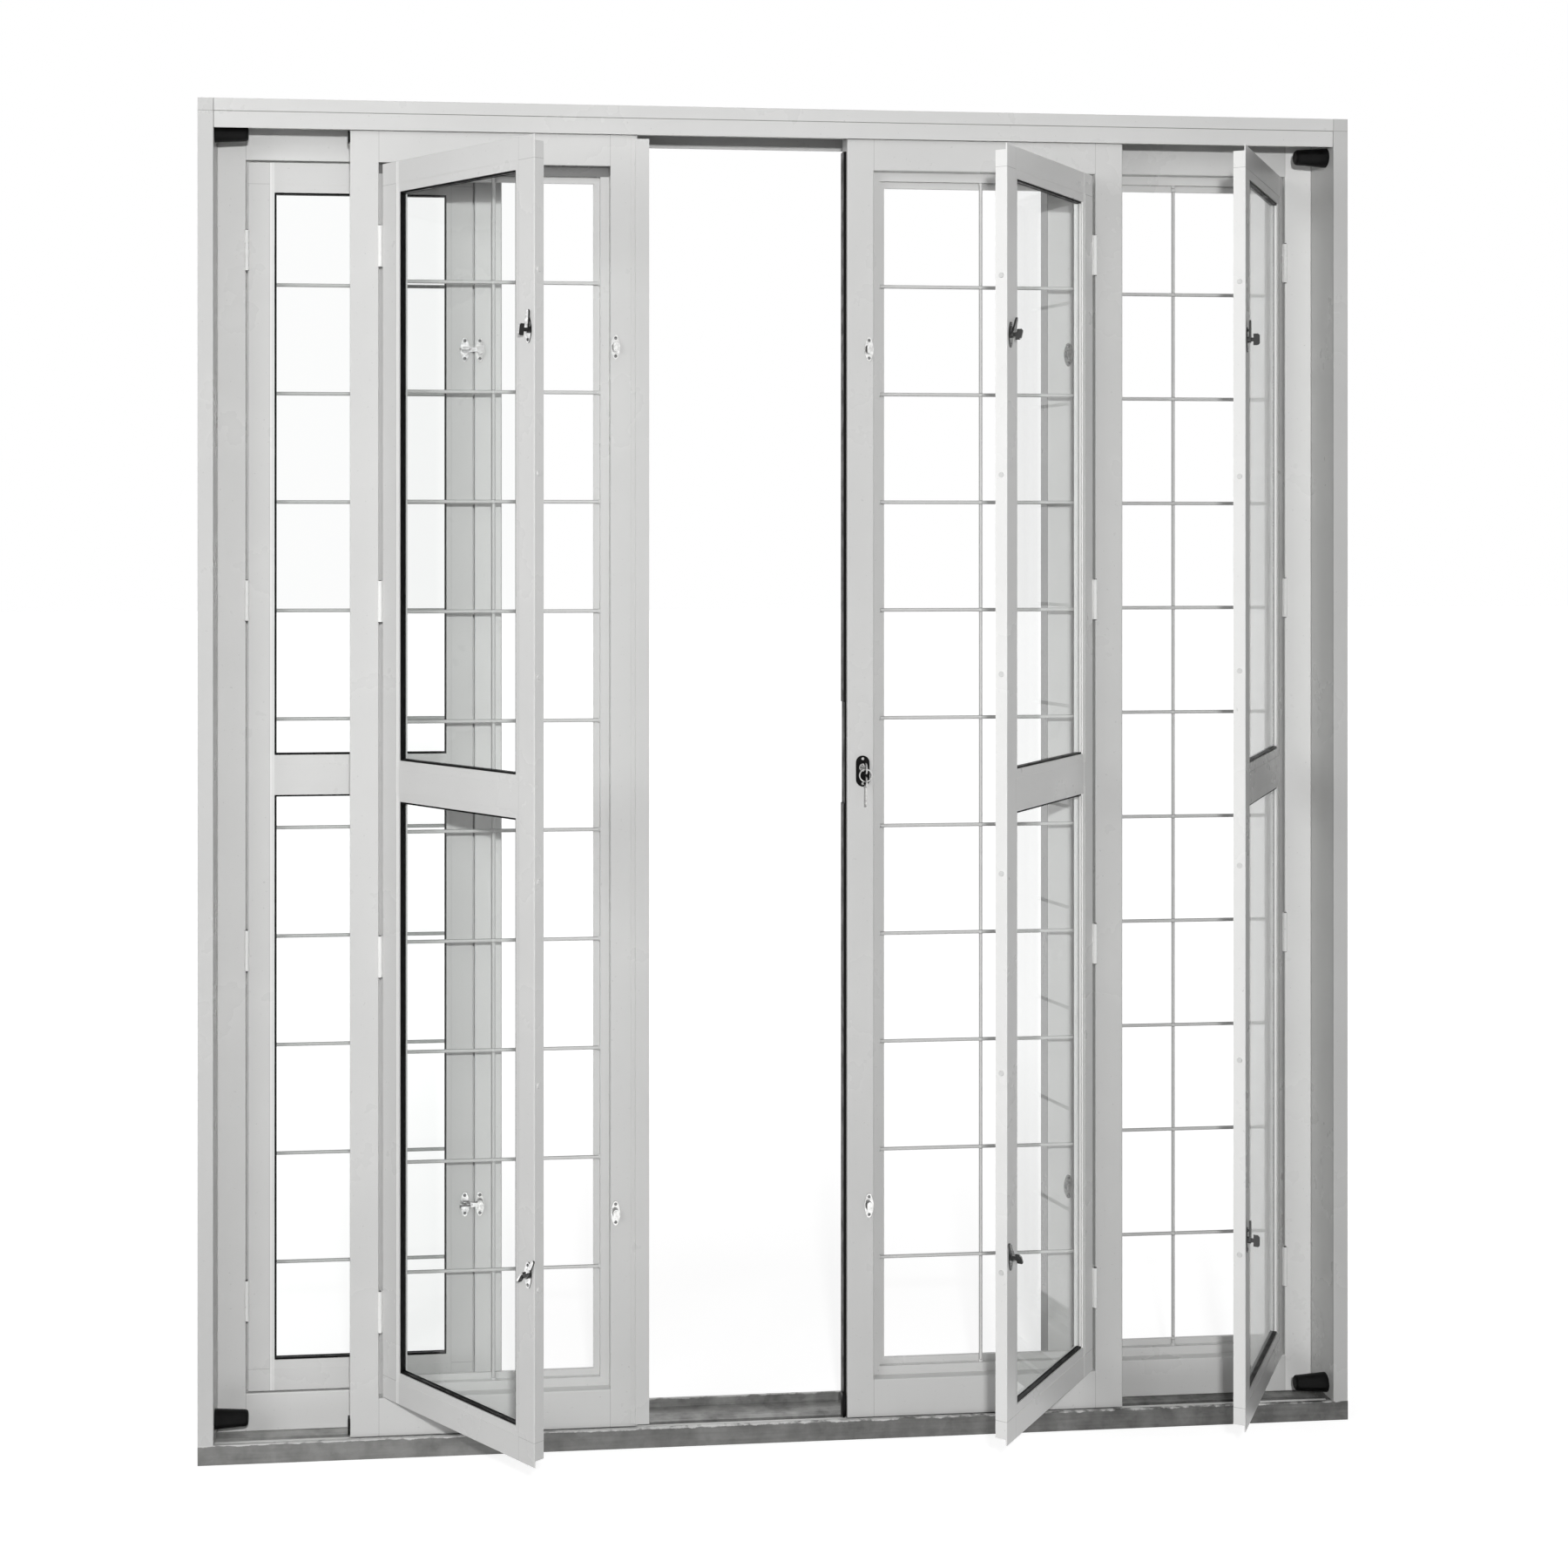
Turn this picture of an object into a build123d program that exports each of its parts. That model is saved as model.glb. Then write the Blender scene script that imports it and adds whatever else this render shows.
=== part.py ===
"""Steel sliding door: a pressed-steel frame with two fixed outer leaves and two sliding
centre leaves. Each leaf carries a welded security grille and, in front of it, a hinged
glazed window. Millimetres, +Z up, the viewer's side is -Y, and the origin is on the
underside of the sill, in the middle of its width and depth."""

import os
from math import cos, radians, sin

from build123d import *

os.makedirs("parts", exist_ok=True)

# Outer frame
FRAME_WIDTH = 1880.0
FRAME_HEIGHT = 2150.0
REAR_PLATE = 4.0
JAMB_WIDTH = 25.0
SHEET = 2.0
EDGE_RADIUS = 2.0
REAR_RETURN = 12.0

# Head
HEAD_FLANGE = 20.0
HEAD_PLATE = 3.0
FASCIA_HEIGHT = 26.0
FASCIA_SETBACK = 2.0
HEAD_SOFFIT_DROP = 20.0

# Sill
SILL_HEIGHT = 31.0
SILL_LIP = 7.0
SILL_FLOOR = 3.0
SILL_BED = 17.0
CHANNEL_SPARE = 11.0

# Track rail and head guide
RAIL_THICK = 5.0
RAIL_HEIGHT = 21.0
RAIL_ROUND = 2.0
GUIDE_THICK = 4.0
GUIDE_REACH = 9.0
GUIDE_CLEARANCE = 1.0

# Leaves
LEAF_THICK = 36.0
LEAF_OVERLAP = 10.0
MEETING_CLEARANCE = 5.0
SLIDER_SETBACK = 13.0
TRACK_SPACING = 72.0
SLIDER_RAIL_GAP = 5.5
SLIDER_HEAD_GAP = 32.5
HINGE_STILE = 46.0
LOCK_STILE = 44.0
TOP_RAIL = 63.0
BOTTOM_RAIL = 61.0
REBATE_DEPTH = 20.0
REBATE_LEDGE = 14.0
GRILLE_STEP_DEPTH = 30.0
GRILLE_LEDGE = 10.0
LEFT_OPENING = 242.0
RIGHT_OPENING = 101.0

# Grille
BAR_DIAMETER = 6.0
BAR_SIDES = 8
BAR_COUNT = 10
MIDDLE_RISE = 2.5

# Hinged windows
WINDOW_THICK = 18.5
WINDOW_ROUND = 1.5
HINGE_GAP = 3.0
FREE_GAP = 3.0
WINDOW_GAP = 3.0
WINDOW_PLATE = 2.0
WINDOW_FLANGE = 9.5
WINDOW_STILE = 35.0
WINDOW_TOP_RAIL = 35.0
WINDOW_BOTTOM_RAIL = 36.0
WINDOW_MID_RAIL = 37.5
SIDE_BEAD = 7.75
RAIL_BEAD = 13.5
BEAD_STEP = 0.6
BEAD_DEPTH = 1.2
GASKET_WIDTH = 3.0
GASKET_DEPTH = 3.0
GASKET_BACK = 1.0
GLASS_DEPTH = 8.0
GLASS_THICK = 4.0
LEFT_SLIDER_ANGLE = 53.0
RIGHT_SLIDER_ANGLE = 51.0
RIGHT_FIXED_ANGLE = 58.0

# Window hinges
KNUCKLE_RADIUS = 3.5
KNUCKLE_LENGTH = 65.0
KNUCKLE_SIDES = 10
KNUCKLE_BARRELS = 3
BARREL_GAP = 0.8
PIN_RADIUS = 2.7
FLAP_THICK = 1.3
FLAP_DEPTH = 14.0
HINGE_COUNT = 4
HINGE_FROM_BOTTOM = 151.0
HINGE_FROM_TOP = 146.0

# Screw plates of the catches and keepers
PLATE_HEIGHT = 39.0
PLATE_WIDTH = 15.0
PLATE_END = 3.9
PLATE_END_SIDES = 12
PLATE_THICK = 1.5
CATCH_FROM_BOTTOM = 296.0
CATCH_FROM_TOP = 303.0

# Turn catches: the tongue lies over the plate, the thumb piece stands off it
CATCH_INSET = 13.0
BOSS_RADIUS = 5.0
BOSS_SIDES = 12
TONGUE_LENGTH = 30.0
TONGUE_WIDTH = 4.6
TONGUE_THICK = 3.0
TONGUE_LIFT = 3.2
NECK_WIDTH = 6.0
THUMB_LENGTH = 17.8
THUMB_THICK = 2.5
THUMB_CORNER = 2.5
THUMB_FROM = 9.5
THUMB_TO = 19.0

# Keepers: a raised oval loop that the tongue turns into
KEEPER_INSET = 8.5
LOOP_HEIGHT = 15.3
LOOP_WIDTH = 9.0
LOOP_SIDES = 12
LOOP_RISE = 9.0
LOOP_STRAP = 1.5
LOOP_PASSAGE = 10.0

# Bumpers on the jambs
BUMPER_LENGTH = 53.0
BUMPER_ROOT_RADIUS = 15.8
BUMPER_TIP_RADIUS = 12.7
BUMPER_ROUND = 5.0
BUMPER_ROUND_STEPS = 3
BUMPER_SIDES = 24
BUMPER_FROM_BOTTOM = 31.5
BUMPER_FROM_TOP = 17.5
RIGHT_BUMPER_DROP = 9.5

# Meeting edges
LIP_WIDTH = 18.0
LIP_THICK = 2.5
LIP_STANDOFF = 5.0
LIP_TOP_GAP = 6.0
LIP_SILL_GAP = 5.0
SEAL_THICK = 4.5
SEAL_DEPTH = 20.0
SEAL_RISE = 19.0

# Lock
LOCK_HEIGHT = 1050.0
ESCUTCHEON_WIDTH = 22.0
ESCUTCHEON_HEIGHT = 50.0
ESCUTCHEON_THICK = 3.0
ESCUTCHEON_INSET = 25.0
LOCK_SIDES = 24
CYLINDER_RADIUS = 5.3
CYLINDER_RISE = 6.0
CYLINDER_PROUD = 4.0
FACEPLATE_LENGTH = 165.0
FACEPLATE_DROP = 53.5
FACEPLATE_THICK = 3.0

# Keys on their ring
KEY_BOW_RADIUS = 9.5
KEY_BOW_SIDES = 14
KEY_HOLE_RADIUS = 2.6
KEY_HOLE_SIDES = 8
KEY_THICK = 2.2
KEY_SHOULDER = 6.0
KEY_BLADE_WIDTH = 6.5
KEY_BLADE_LENGTH = 28.0
RING_RADIUS = 10.0
RING_SIDES = 20
RING_WIRE = 1.8
RING_PLAY = 0.7

# Rollers
ROLLER_RADIUS = 12.0
ROLLER_WIDTH = 12.0
ROLLER_SIDES = 24
ROLLER_INSET = 75.0
ROLLER_SEAT = 0.3
AXLE_RADIUS = 3.0
AXLE_SIDES = 8
POCKET_LENGTH = 30.0
POCKET_WIDTH = 18.0

# Places across the depth, from the front (-Y) to the back
FRAME_DEPTH = SLIDER_SETBACK + TRACK_SPACING + LEAF_THICK + REAR_PLATE
FRONT = -FRAME_DEPTH / 2
BACK = FRAME_DEPTH / 2
SLIDER_FACE = FRONT + SLIDER_SETBACK
FIXED_FACE = SLIDER_FACE + TRACK_SPACING
FIXED_BACK = FIXED_FACE + LEAF_THICK
TRACK_Y = SLIDER_FACE + LEAF_THICK / 2
CHANNEL_BACK = SLIDER_FACE + LEAF_THICK + CHANNEL_SPARE

# Places across the width: shut, each slider laps its fixed leaf and stops short of the middle
HALF = FRAME_WIDTH / 2
INNER = HALF - JAMB_WIDTH
LEAF_WIDTH = (INNER + LEAF_OVERLAP - MEETING_CLEARANCE) / 2
WINDOW_WIDTH = LEAF_WIDTH - HINGE_STILE - LOCK_STILE - HINGE_GAP - FREE_GAP

# Heights
FASCIA_BOTTOM = FRAME_HEIGHT - HEAD_FLANGE - FASCIA_HEIGHT
SOFFIT = FRAME_HEIGHT - HEAD_SOFFIT_DROP
RAIL_TOP = SILL_FLOOR + RAIL_HEIGHT
SLIDER_BOTTOM = RAIL_TOP + SLIDER_RAIL_GAP
SLIDER_TOP = FRAME_HEIGHT - SLIDER_HEAD_GAP
LOCK_CENTRE = SLIDER_BOTTOM + LOCK_HEIGHT
FACEPLATE_LOW = LOCK_CENTRE - FACEPLATE_DROP
FACEPLATE_HIGH = FACEPLATE_LOW + FACEPLATE_LENGTH

# Heights that all four leaves share, from the fixed leaves' openings
OPENING_LOW = SILL_BED + BOTTOM_RAIL
OPENING_HIGH = SOFFIT - TOP_RAIL
MIDDLE = (OPENING_LOW + OPENING_HIGH) / 2 + MIDDLE_RISE
BAR_PITCH = (OPENING_HIGH - OPENING_LOW - 2 * REBATE_LEDGE - 2 * GRILLE_LEDGE) / (BAR_COUNT + 1)
HINGE_LOW = OPENING_LOW + HINGE_FROM_BOTTOM
HINGE_PITCH = (OPENING_HIGH - HINGE_FROM_TOP - HINGE_LOW) / (HINGE_COUNT - 1)
CATCH_HEIGHTS = (OPENING_LOW + CATCH_FROM_BOTTOM, OPENING_HIGH - CATCH_FROM_TOP)


class Leaf:
    """One leaf: where it stands, which side its window hangs on, how far it is open, and
    how far the tongues of its lower and upper catch are turned up."""

    def __init__(self, name, left, face, bottom, top, hand, angle, tongues):
        self.name = name
        self.left = left
        self.right = left + LEAF_WIDTH
        self.face = face
        self.bottom = bottom
        self.top = top
        self.hand = hand
        self.angle = angle
        self.tongues = tongues
        hinge_edge = HINGE_STILE if hand > 0 else LEAF_WIDTH - HINGE_STILE
        lock_edge = LEAF_WIDTH - LOCK_STILE if hand > 0 else LOCK_STILE
        self.hinge_x = left + hinge_edge
        self.lock_x = left + lock_edge
        self.open_left = min(self.hinge_x, self.lock_x)
        self.open_right = max(self.hinge_x, self.lock_x)
        self.open_bottom = bottom + BOTTOM_RAIL
        self.open_top = top - TOP_RAIL
        self.pivot_x = self.hinge_x + hand * HINGE_GAP / 2
        self.pivot_y = face - KNUCKLE_RADIUS

    def front_plane(self, depth=0.0):
        """A plane parallel to the leaf's face, local y up, looking at the viewer."""
        return Plane(origin=(0, self.face + depth, 0), x_dir=(1, 0, 0), z_dir=(0, -1, 0))

    def window_plane(self, depth=0.0):
        """The turned window's plane through the hinge line, local y up, at a depth
        behind the window's front face."""
        turn = radians(self.angle)
        across = (cos(turn), -self.hand * sin(turn), 0)
        outward = (-self.hand * sin(turn), -cos(turn), 0)
        plane = Plane(origin=(self.pivot_x, self.pivot_y, 0), x_dir=across, z_dir=outward)
        return plane.offset(-KNUCKLE_RADIUS - depth)


LEFT_FIXED_LEAF = Leaf(
    "left_fixed", -INNER, FIXED_FACE, SILL_BED, SOFFIT, 1, 0.0, (0.0, 0.0)
)
LEFT_SLIDER = Leaf(
    "left_slider",
    -LEFT_OPENING - LEAF_WIDTH,
    SLIDER_FACE,
    SLIDER_BOTTOM,
    SLIDER_TOP,
    1,
    LEFT_SLIDER_ANGLE,
    (56.0, 81.0),
)
RIGHT_SLIDER = Leaf(
    "right_slider",
    RIGHT_OPENING,
    SLIDER_FACE,
    SLIDER_BOTTOM,
    SLIDER_TOP,
    -1,
    RIGHT_SLIDER_ANGLE,
    (58.0, 118.0),
)
RIGHT_FIXED_LEAF = Leaf(
    "right_fixed",
    INNER - LEAF_WIDTH,
    FIXED_FACE,
    SILL_BED,
    SOFFIT,
    -1,
    RIGHT_FIXED_ANGLE,
    (90.0, 90.0),
)
LEAVES = (LEFT_FIXED_LEAF, LEFT_SLIDER, RIGHT_SLIDER, RIGHT_FIXED_LEAF)


# The outline that the catches' and keepers' screw plates share: bowed sides, round ends
with BuildSketch() as screw_plate:
    shoulder = PLATE_HEIGHT / 2 - PLATE_END
    with BuildLine():
        for side in (1, -1):
            ThreePointArc(
                (side * PLATE_END, -shoulder), (side * PLATE_WIDTH / 2, 0), (side * PLATE_END, shoulder)
            )
            Line((-PLATE_END, side * shoulder), (PLATE_END, side * shoulder))
    make_face()
    with GridLocations(0, 2 * shoulder, 1, 2):
        RegularPolygon(PLATE_END, PLATE_END_SIDES)


def save(built, name):
    built.part.label = name
    export_step(built.part, f"parts/{name}.step")


def box_sketch(left, right, low, high):
    """A rectangle between two sides and two heights in the plane of the open sketch."""
    with Locations(((left + right) / 2, (low + high) / 2)):
        Rectangle(abs(right - left), high - low)


def build_jamb(name, side):
    """A jamb: a folded box section with a rounded front corner and a rear return."""
    outer = side * HALF
    inner = side * INNER
    with BuildPart() as jamb:
        with BuildSketch(Plane.XY.offset(SILL_HEIGHT)):
            with Locations(((outer + inner) / 2, 0)):
                Rectangle(JAMB_WIDTH, FRAME_DEPTH)
                Rectangle(JAMB_WIDTH - 2 * SHEET, FRAME_DEPTH - 2 * SHEET, mode=Mode.SUBTRACT)
        extrude(amount=FRAME_HEIGHT - SILL_HEIGHT)
        front_edges = jamb.edges().filter_by(Axis.Z).group_by(Axis.Y)[0]
        fillet(front_edges, EDGE_RADIUS)
        with BuildSketch(Plane.XY.offset(SILL_HEIGHT)):
            with Locations((inner - side * REAR_RETURN / 2, (FIXED_BACK + BACK) / 2)):
                Rectangle(REAR_RETURN, BACK - FIXED_BACK)
        extrude(amount=FASCIA_BOTTOM - SILL_HEIGHT)
    save(jamb, name)


def build_head():
    """The head between the jambs: top plate, front flange, soffit over the fixed leaves."""
    with BuildPart() as head:
        with BuildSketch(Plane(origin=(-INNER, 0, 0), x_dir=(0, 1, 0), z_dir=(1, 0, 0))):
            box_sketch(FRONT, BACK, FRAME_HEIGHT - HEAD_PLATE, FRAME_HEIGHT)
            box_sketch(FRONT, FRONT + HEAD_PLATE, FRAME_HEIGHT - HEAD_FLANGE, FRAME_HEIGHT)
            box_sketch(CHANNEL_BACK, BACK, SOFFIT, FRAME_HEIGHT)
            box_sketch(FIXED_BACK, BACK, FASCIA_BOTTOM, FRAME_HEIGHT)
        extrude(amount=2 * INNER)
        front_edge = head.edges().filter_by(Axis.X).group_by(Axis.Y)[0]
        fillet(front_edge, EDGE_RADIUS / 2)
    save(head, "head")


def build_fascia():
    """The strip below the head flange that hides the tops of the leaves."""
    plate_front = FRONT + FASCIA_SETBACK
    with BuildPart() as fascia:
        with BuildSketch(Plane(origin=(-INNER, 0, 0), x_dir=(0, 1, 0), z_dir=(1, 0, 0))):
            box_sketch(plate_front, plate_front + SHEET, FASCIA_BOTTOM, FRAME_HEIGHT - HEAD_FLANGE)
        extrude(amount=2 * INNER)
    save(fascia, "fascia")


def build_sill():
    """The sill: front upstand with a folded lip, track channel, raised bed, end blocks."""
    with BuildPart() as sill:
        with BuildSketch(Plane(origin=(-HALF, 0, 0), x_dir=(0, 1, 0), z_dir=(1, 0, 0))):
            box_sketch(FRONT, FRONT + SHEET, 0, SILL_HEIGHT)
            box_sketch(FRONT, FRONT + SILL_LIP, SILL_HEIGHT - SHEET, SILL_HEIGHT)
            box_sketch(FRONT, CHANNEL_BACK, 0, SILL_FLOOR)
            box_sketch(CHANNEL_BACK, BACK, 0, SILL_BED)
            box_sketch(FIXED_BACK, BACK, 0, SILL_HEIGHT)
        extrude(amount=FRAME_WIDTH)
        with BuildSketch(Plane.XY):
            with Locations((-HALF + JAMB_WIDTH / 2, 0), (HALF - JAMB_WIDTH / 2, 0)):
                Rectangle(JAMB_WIDTH, FRAME_DEPTH)
        extrude(amount=SILL_HEIGHT)
    save(sill, "sill")


def build_track():
    """The rail that the sliding leaves roll on, with a rounded top."""
    with BuildPart() as track:
        with BuildSketch(Plane(origin=(-INNER, 0, 0), x_dir=(0, 1, 0), z_dir=(1, 0, 0))):
            box_sketch(TRACK_Y - RAIL_THICK / 2, TRACK_Y + RAIL_THICK / 2, SILL_FLOOR, RAIL_TOP)
        extrude(amount=2 * INNER)
        fillet(track.edges().filter_by(Axis.X).group_by(Axis.Z)[-1], RAIL_ROUND)
    save(track, "track_rail")


def build_head_guide():
    """The fin under the head that runs in the grooved tops of the sliding leaves, from
    bumper to bumper."""
    guide_half = INNER - BUMPER_LENGTH
    with BuildPart() as guide:
        with BuildSketch(Plane(origin=(-guide_half, 0, 0), x_dir=(0, 1, 0), z_dir=(1, 0, 0))):
            box_sketch(
                TRACK_Y - GUIDE_THICK / 2,
                TRACK_Y + GUIDE_THICK / 2,
                SLIDER_TOP - GUIDE_REACH,
                FRAME_HEIGHT - HEAD_PLATE,
            )
        extrude(amount=2 * guide_half)
    save(guide, "head_guide")


def build_bumpers(name, side, drop):
    """Two tapered rubber buffers on one jamb, high and low, in the sliding plane. Each is
    drawn through rings from its root to the end of its rounded tip."""
    rings = [(0, BUMPER_ROOT_RADIUS)]
    for step in range(BUMPER_ROUND_STEPS + 1):
        turn = radians(90 * step / BUMPER_ROUND_STEPS)
        reach = BUMPER_LENGTH - BUMPER_ROUND * (1 - sin(turn))
        rings.append((reach, BUMPER_TIP_RADIUS - BUMPER_ROUND * (1 - cos(turn))))
    with BuildPart() as bumpers:
        for height in (SLIDER_BOTTOM + BUMPER_FROM_BOTTOM, SLIDER_TOP - BUMPER_FROM_TOP):
            foot = (side * INNER, TRACK_Y, height - drop)
            root = Plane(origin=foot, x_dir=(0, 1, 0), z_dir=(-side, 0, 0))
            for reach, radius in rings:
                with BuildSketch(root.offset(reach)):
                    RegularPolygon(radius, BUMPER_SIDES)
            loft(ruled=True)
    save(bumpers, name)


def build_leaf_frame(leaf):
    """A welded leaf frame: face, window rebate, grille step, and on a slider the
    grooved top and the two roller pockets."""
    slides = leaf.face == SLIDER_FACE
    with BuildPart() as leaf_frame:
        with BuildSketch(leaf.front_plane(LEAF_THICK)):
            box_sketch(leaf.left, leaf.right, leaf.bottom, leaf.top)
        extrude(amount=LEAF_THICK)
        with BuildSketch(leaf.front_plane(REBATE_DEPTH)):
            box_sketch(leaf.open_left, leaf.open_right, leaf.open_bottom, leaf.open_top)
        extrude(amount=REBATE_DEPTH, mode=Mode.SUBTRACT)
        front_edges = leaf_frame.edges().group_by(Axis.Y)[0]
        fillet(front_edges, EDGE_RADIUS)
        with BuildSketch(leaf.front_plane(GRILLE_STEP_DEPTH)):
            ledge = REBATE_LEDGE
            box_sketch(
                leaf.open_left + ledge,
                leaf.open_right - ledge,
                leaf.open_bottom + ledge,
                leaf.open_top - ledge,
            )
        extrude(amount=GRILLE_STEP_DEPTH - REBATE_DEPTH, mode=Mode.SUBTRACT)
        with BuildSketch(leaf.front_plane(LEAF_THICK)):
            ledge = REBATE_LEDGE + GRILLE_LEDGE
            box_sketch(
                leaf.open_left + ledge,
                leaf.open_right - ledge,
                leaf.open_bottom + ledge,
                leaf.open_top - ledge,
            )
        extrude(amount=LEAF_THICK - GRILLE_STEP_DEPTH, mode=Mode.SUBTRACT)
        if slides:
            groove = GUIDE_THICK + 2 * GUIDE_CLEARANCE
            with BuildSketch(Plane.XY.offset(leaf.top - GUIDE_REACH - 2 * GUIDE_CLEARANCE)):
                with Locations(((leaf.left + leaf.right) / 2, TRACK_Y)):
                    Rectangle(LEAF_WIDTH, groove)
            extrude(amount=GUIDE_REACH + 2 * GUIDE_CLEARANCE, mode=Mode.SUBTRACT)
            roller_top = RAIL_TOP + ROLLER_SEAT + 2 * ROLLER_RADIUS
            with BuildSketch(Plane.XY.offset(leaf.bottom)):
                with Locations(
                    (leaf.left + ROLLER_INSET, TRACK_Y), (leaf.right - ROLLER_INSET, TRACK_Y)
                ):
                    Rectangle(POCKET_LENGTH, POCKET_WIDTH)
            extrude(amount=roller_top + GUIDE_CLEARANCE - leaf.bottom, mode=Mode.SUBTRACT)
    save(leaf_frame, f"{leaf.name}_leaf_frame")


def build_grille(leaf):
    """The security grille: round bars, ten across and one upright, welded where they cross.
    They lie on the inner ledge and end at its wall."""
    left = leaf.open_left + REBATE_LEDGE
    right = leaf.open_right - REBATE_LEDGE
    low = leaf.open_bottom + REBATE_LEDGE
    high = leaf.open_top - REBATE_LEDGE
    bar_y = leaf.face + GRILLE_STEP_DEPTH - BAR_DIAMETER / 2
    with BuildPart() as grille:
        with BuildSketch(Plane(origin=(left, bar_y, MIDDLE), x_dir=(0, 1, 0), z_dir=(1, 0, 0))):
            with GridLocations(0, BAR_PITCH, 1, BAR_COUNT):
                RegularPolygon(BAR_DIAMETER / 2, BAR_SIDES)
        extrude(amount=right - left)
        with BuildSketch(Plane.XY.offset(low)):
            with Locations(((left + right) / 2, bar_y)):
                RegularPolygon(BAR_DIAMETER / 2, BAR_SIDES)
        extrude(amount=high - low)
    save(grille, f"{leaf.name}_grille")


def window_panes(leaf):
    """The two glazed openings as (near side, far side, low, high) across the window."""
    near = HINGE_GAP / 2 + WINDOW_STILE + SIDE_BEAD
    far = HINGE_GAP / 2 + WINDOW_WIDTH - WINDOW_STILE - SIDE_BEAD
    low = leaf.open_bottom + WINDOW_GAP + WINDOW_BOTTOM_RAIL + RAIL_BEAD
    high = leaf.open_top - WINDOW_GAP - WINDOW_TOP_RAIL - RAIL_BEAD
    half_mid = WINDOW_MID_RAIL / 2 + RAIL_BEAD
    lower = (near, far, low, MIDDLE - half_mid)
    upper = (near, far, MIDDLE + half_mid, high)
    return lower, upper


def build_window_frame(leaf):
    """A window frame: two stiles, three rails and flat glazing beads. Its front plate
    stands past the body at the top and the bottom."""
    hand = leaf.hand
    edge = HINGE_GAP / 2
    plate_bottom = leaf.open_bottom + WINDOW_GAP
    plate_top = leaf.open_top - WINDOW_GAP
    with BuildPart() as window_frame:
        with BuildSketch(leaf.window_plane(WINDOW_THICK)):
            box_sketch(hand * edge, hand * (edge + WINDOW_WIDTH), plate_bottom, plate_top)
        extrude(amount=WINDOW_THICK)
        outward = Axis((0, 0, 0), leaf.window_plane().z_dir)
        front_face = window_frame.faces().sort_by(outward)[-1]
        fillet(front_face.edges(), WINDOW_ROUND)
        with BuildSketch(leaf.window_plane(WINDOW_THICK)):
            for low, high in (
                (plate_bottom, plate_bottom + WINDOW_FLANGE),
                (plate_top - WINDOW_FLANGE, plate_top),
            ):
                box_sketch(hand * edge, hand * (edge + WINDOW_WIDTH), low, high)
        extrude(amount=WINDOW_THICK - WINDOW_PLATE, mode=Mode.SUBTRACT)
        for near, far, low, high in window_panes(leaf):
            bead_sides = (hand * (near - SIDE_BEAD), hand * (far + SIDE_BEAD))
            with BuildSketch(leaf.window_plane(BEAD_STEP)):
                box_sketch(*bead_sides, low - RAIL_BEAD, high + RAIL_BEAD)
            extrude(amount=BEAD_STEP, mode=Mode.SUBTRACT)
            with BuildSketch(leaf.window_plane(BEAD_STEP)):
                box_sketch(*bead_sides, low - RAIL_BEAD, high + RAIL_BEAD)
            with BuildSketch(leaf.window_plane(BEAD_DEPTH)):
                box_sketch(hand * near, hand * far, low, high)
            loft(mode=Mode.SUBTRACT)
            with BuildSketch(leaf.window_plane(WINDOW_THICK)):
                box_sketch(hand * near, hand * far, low, high)
            extrude(amount=WINDOW_THICK - BEAD_DEPTH, mode=Mode.SUBTRACT)
    save(window_frame, f"{leaf.name}_window_frame")


def build_gaskets(leaf):
    """The black rubber round each pane, set back a little behind the beads."""
    hand = leaf.hand
    gasket_back = GLASS_DEPTH + GLASS_THICK + GASKET_BACK
    with BuildPart() as gaskets:
        for near, far, low, high in window_panes(leaf):
            with BuildSketch(leaf.window_plane(gasket_back)):
                box_sketch(hand * near, hand * far, low, high)
                offset(amount=-GASKET_WIDTH, mode=Mode.SUBTRACT)
            extrude(amount=gasket_back - GASKET_DEPTH)
    save(gaskets, f"{leaf.name}_glazing_gaskets")


def build_glass(leaf):
    """The two panes of a window."""
    hand = leaf.hand
    rim = GASKET_WIDTH
    with BuildPart() as glass:
        for near, far, low, high in window_panes(leaf):
            with BuildSketch(leaf.window_plane(GLASS_DEPTH + GLASS_THICK)):
                box_sketch(hand * (near + rim), hand * (far - rim), low + rim, high - rim)
            extrude(amount=GLASS_THICK)
    save(glass, f"{leaf.name}_glass")


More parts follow.
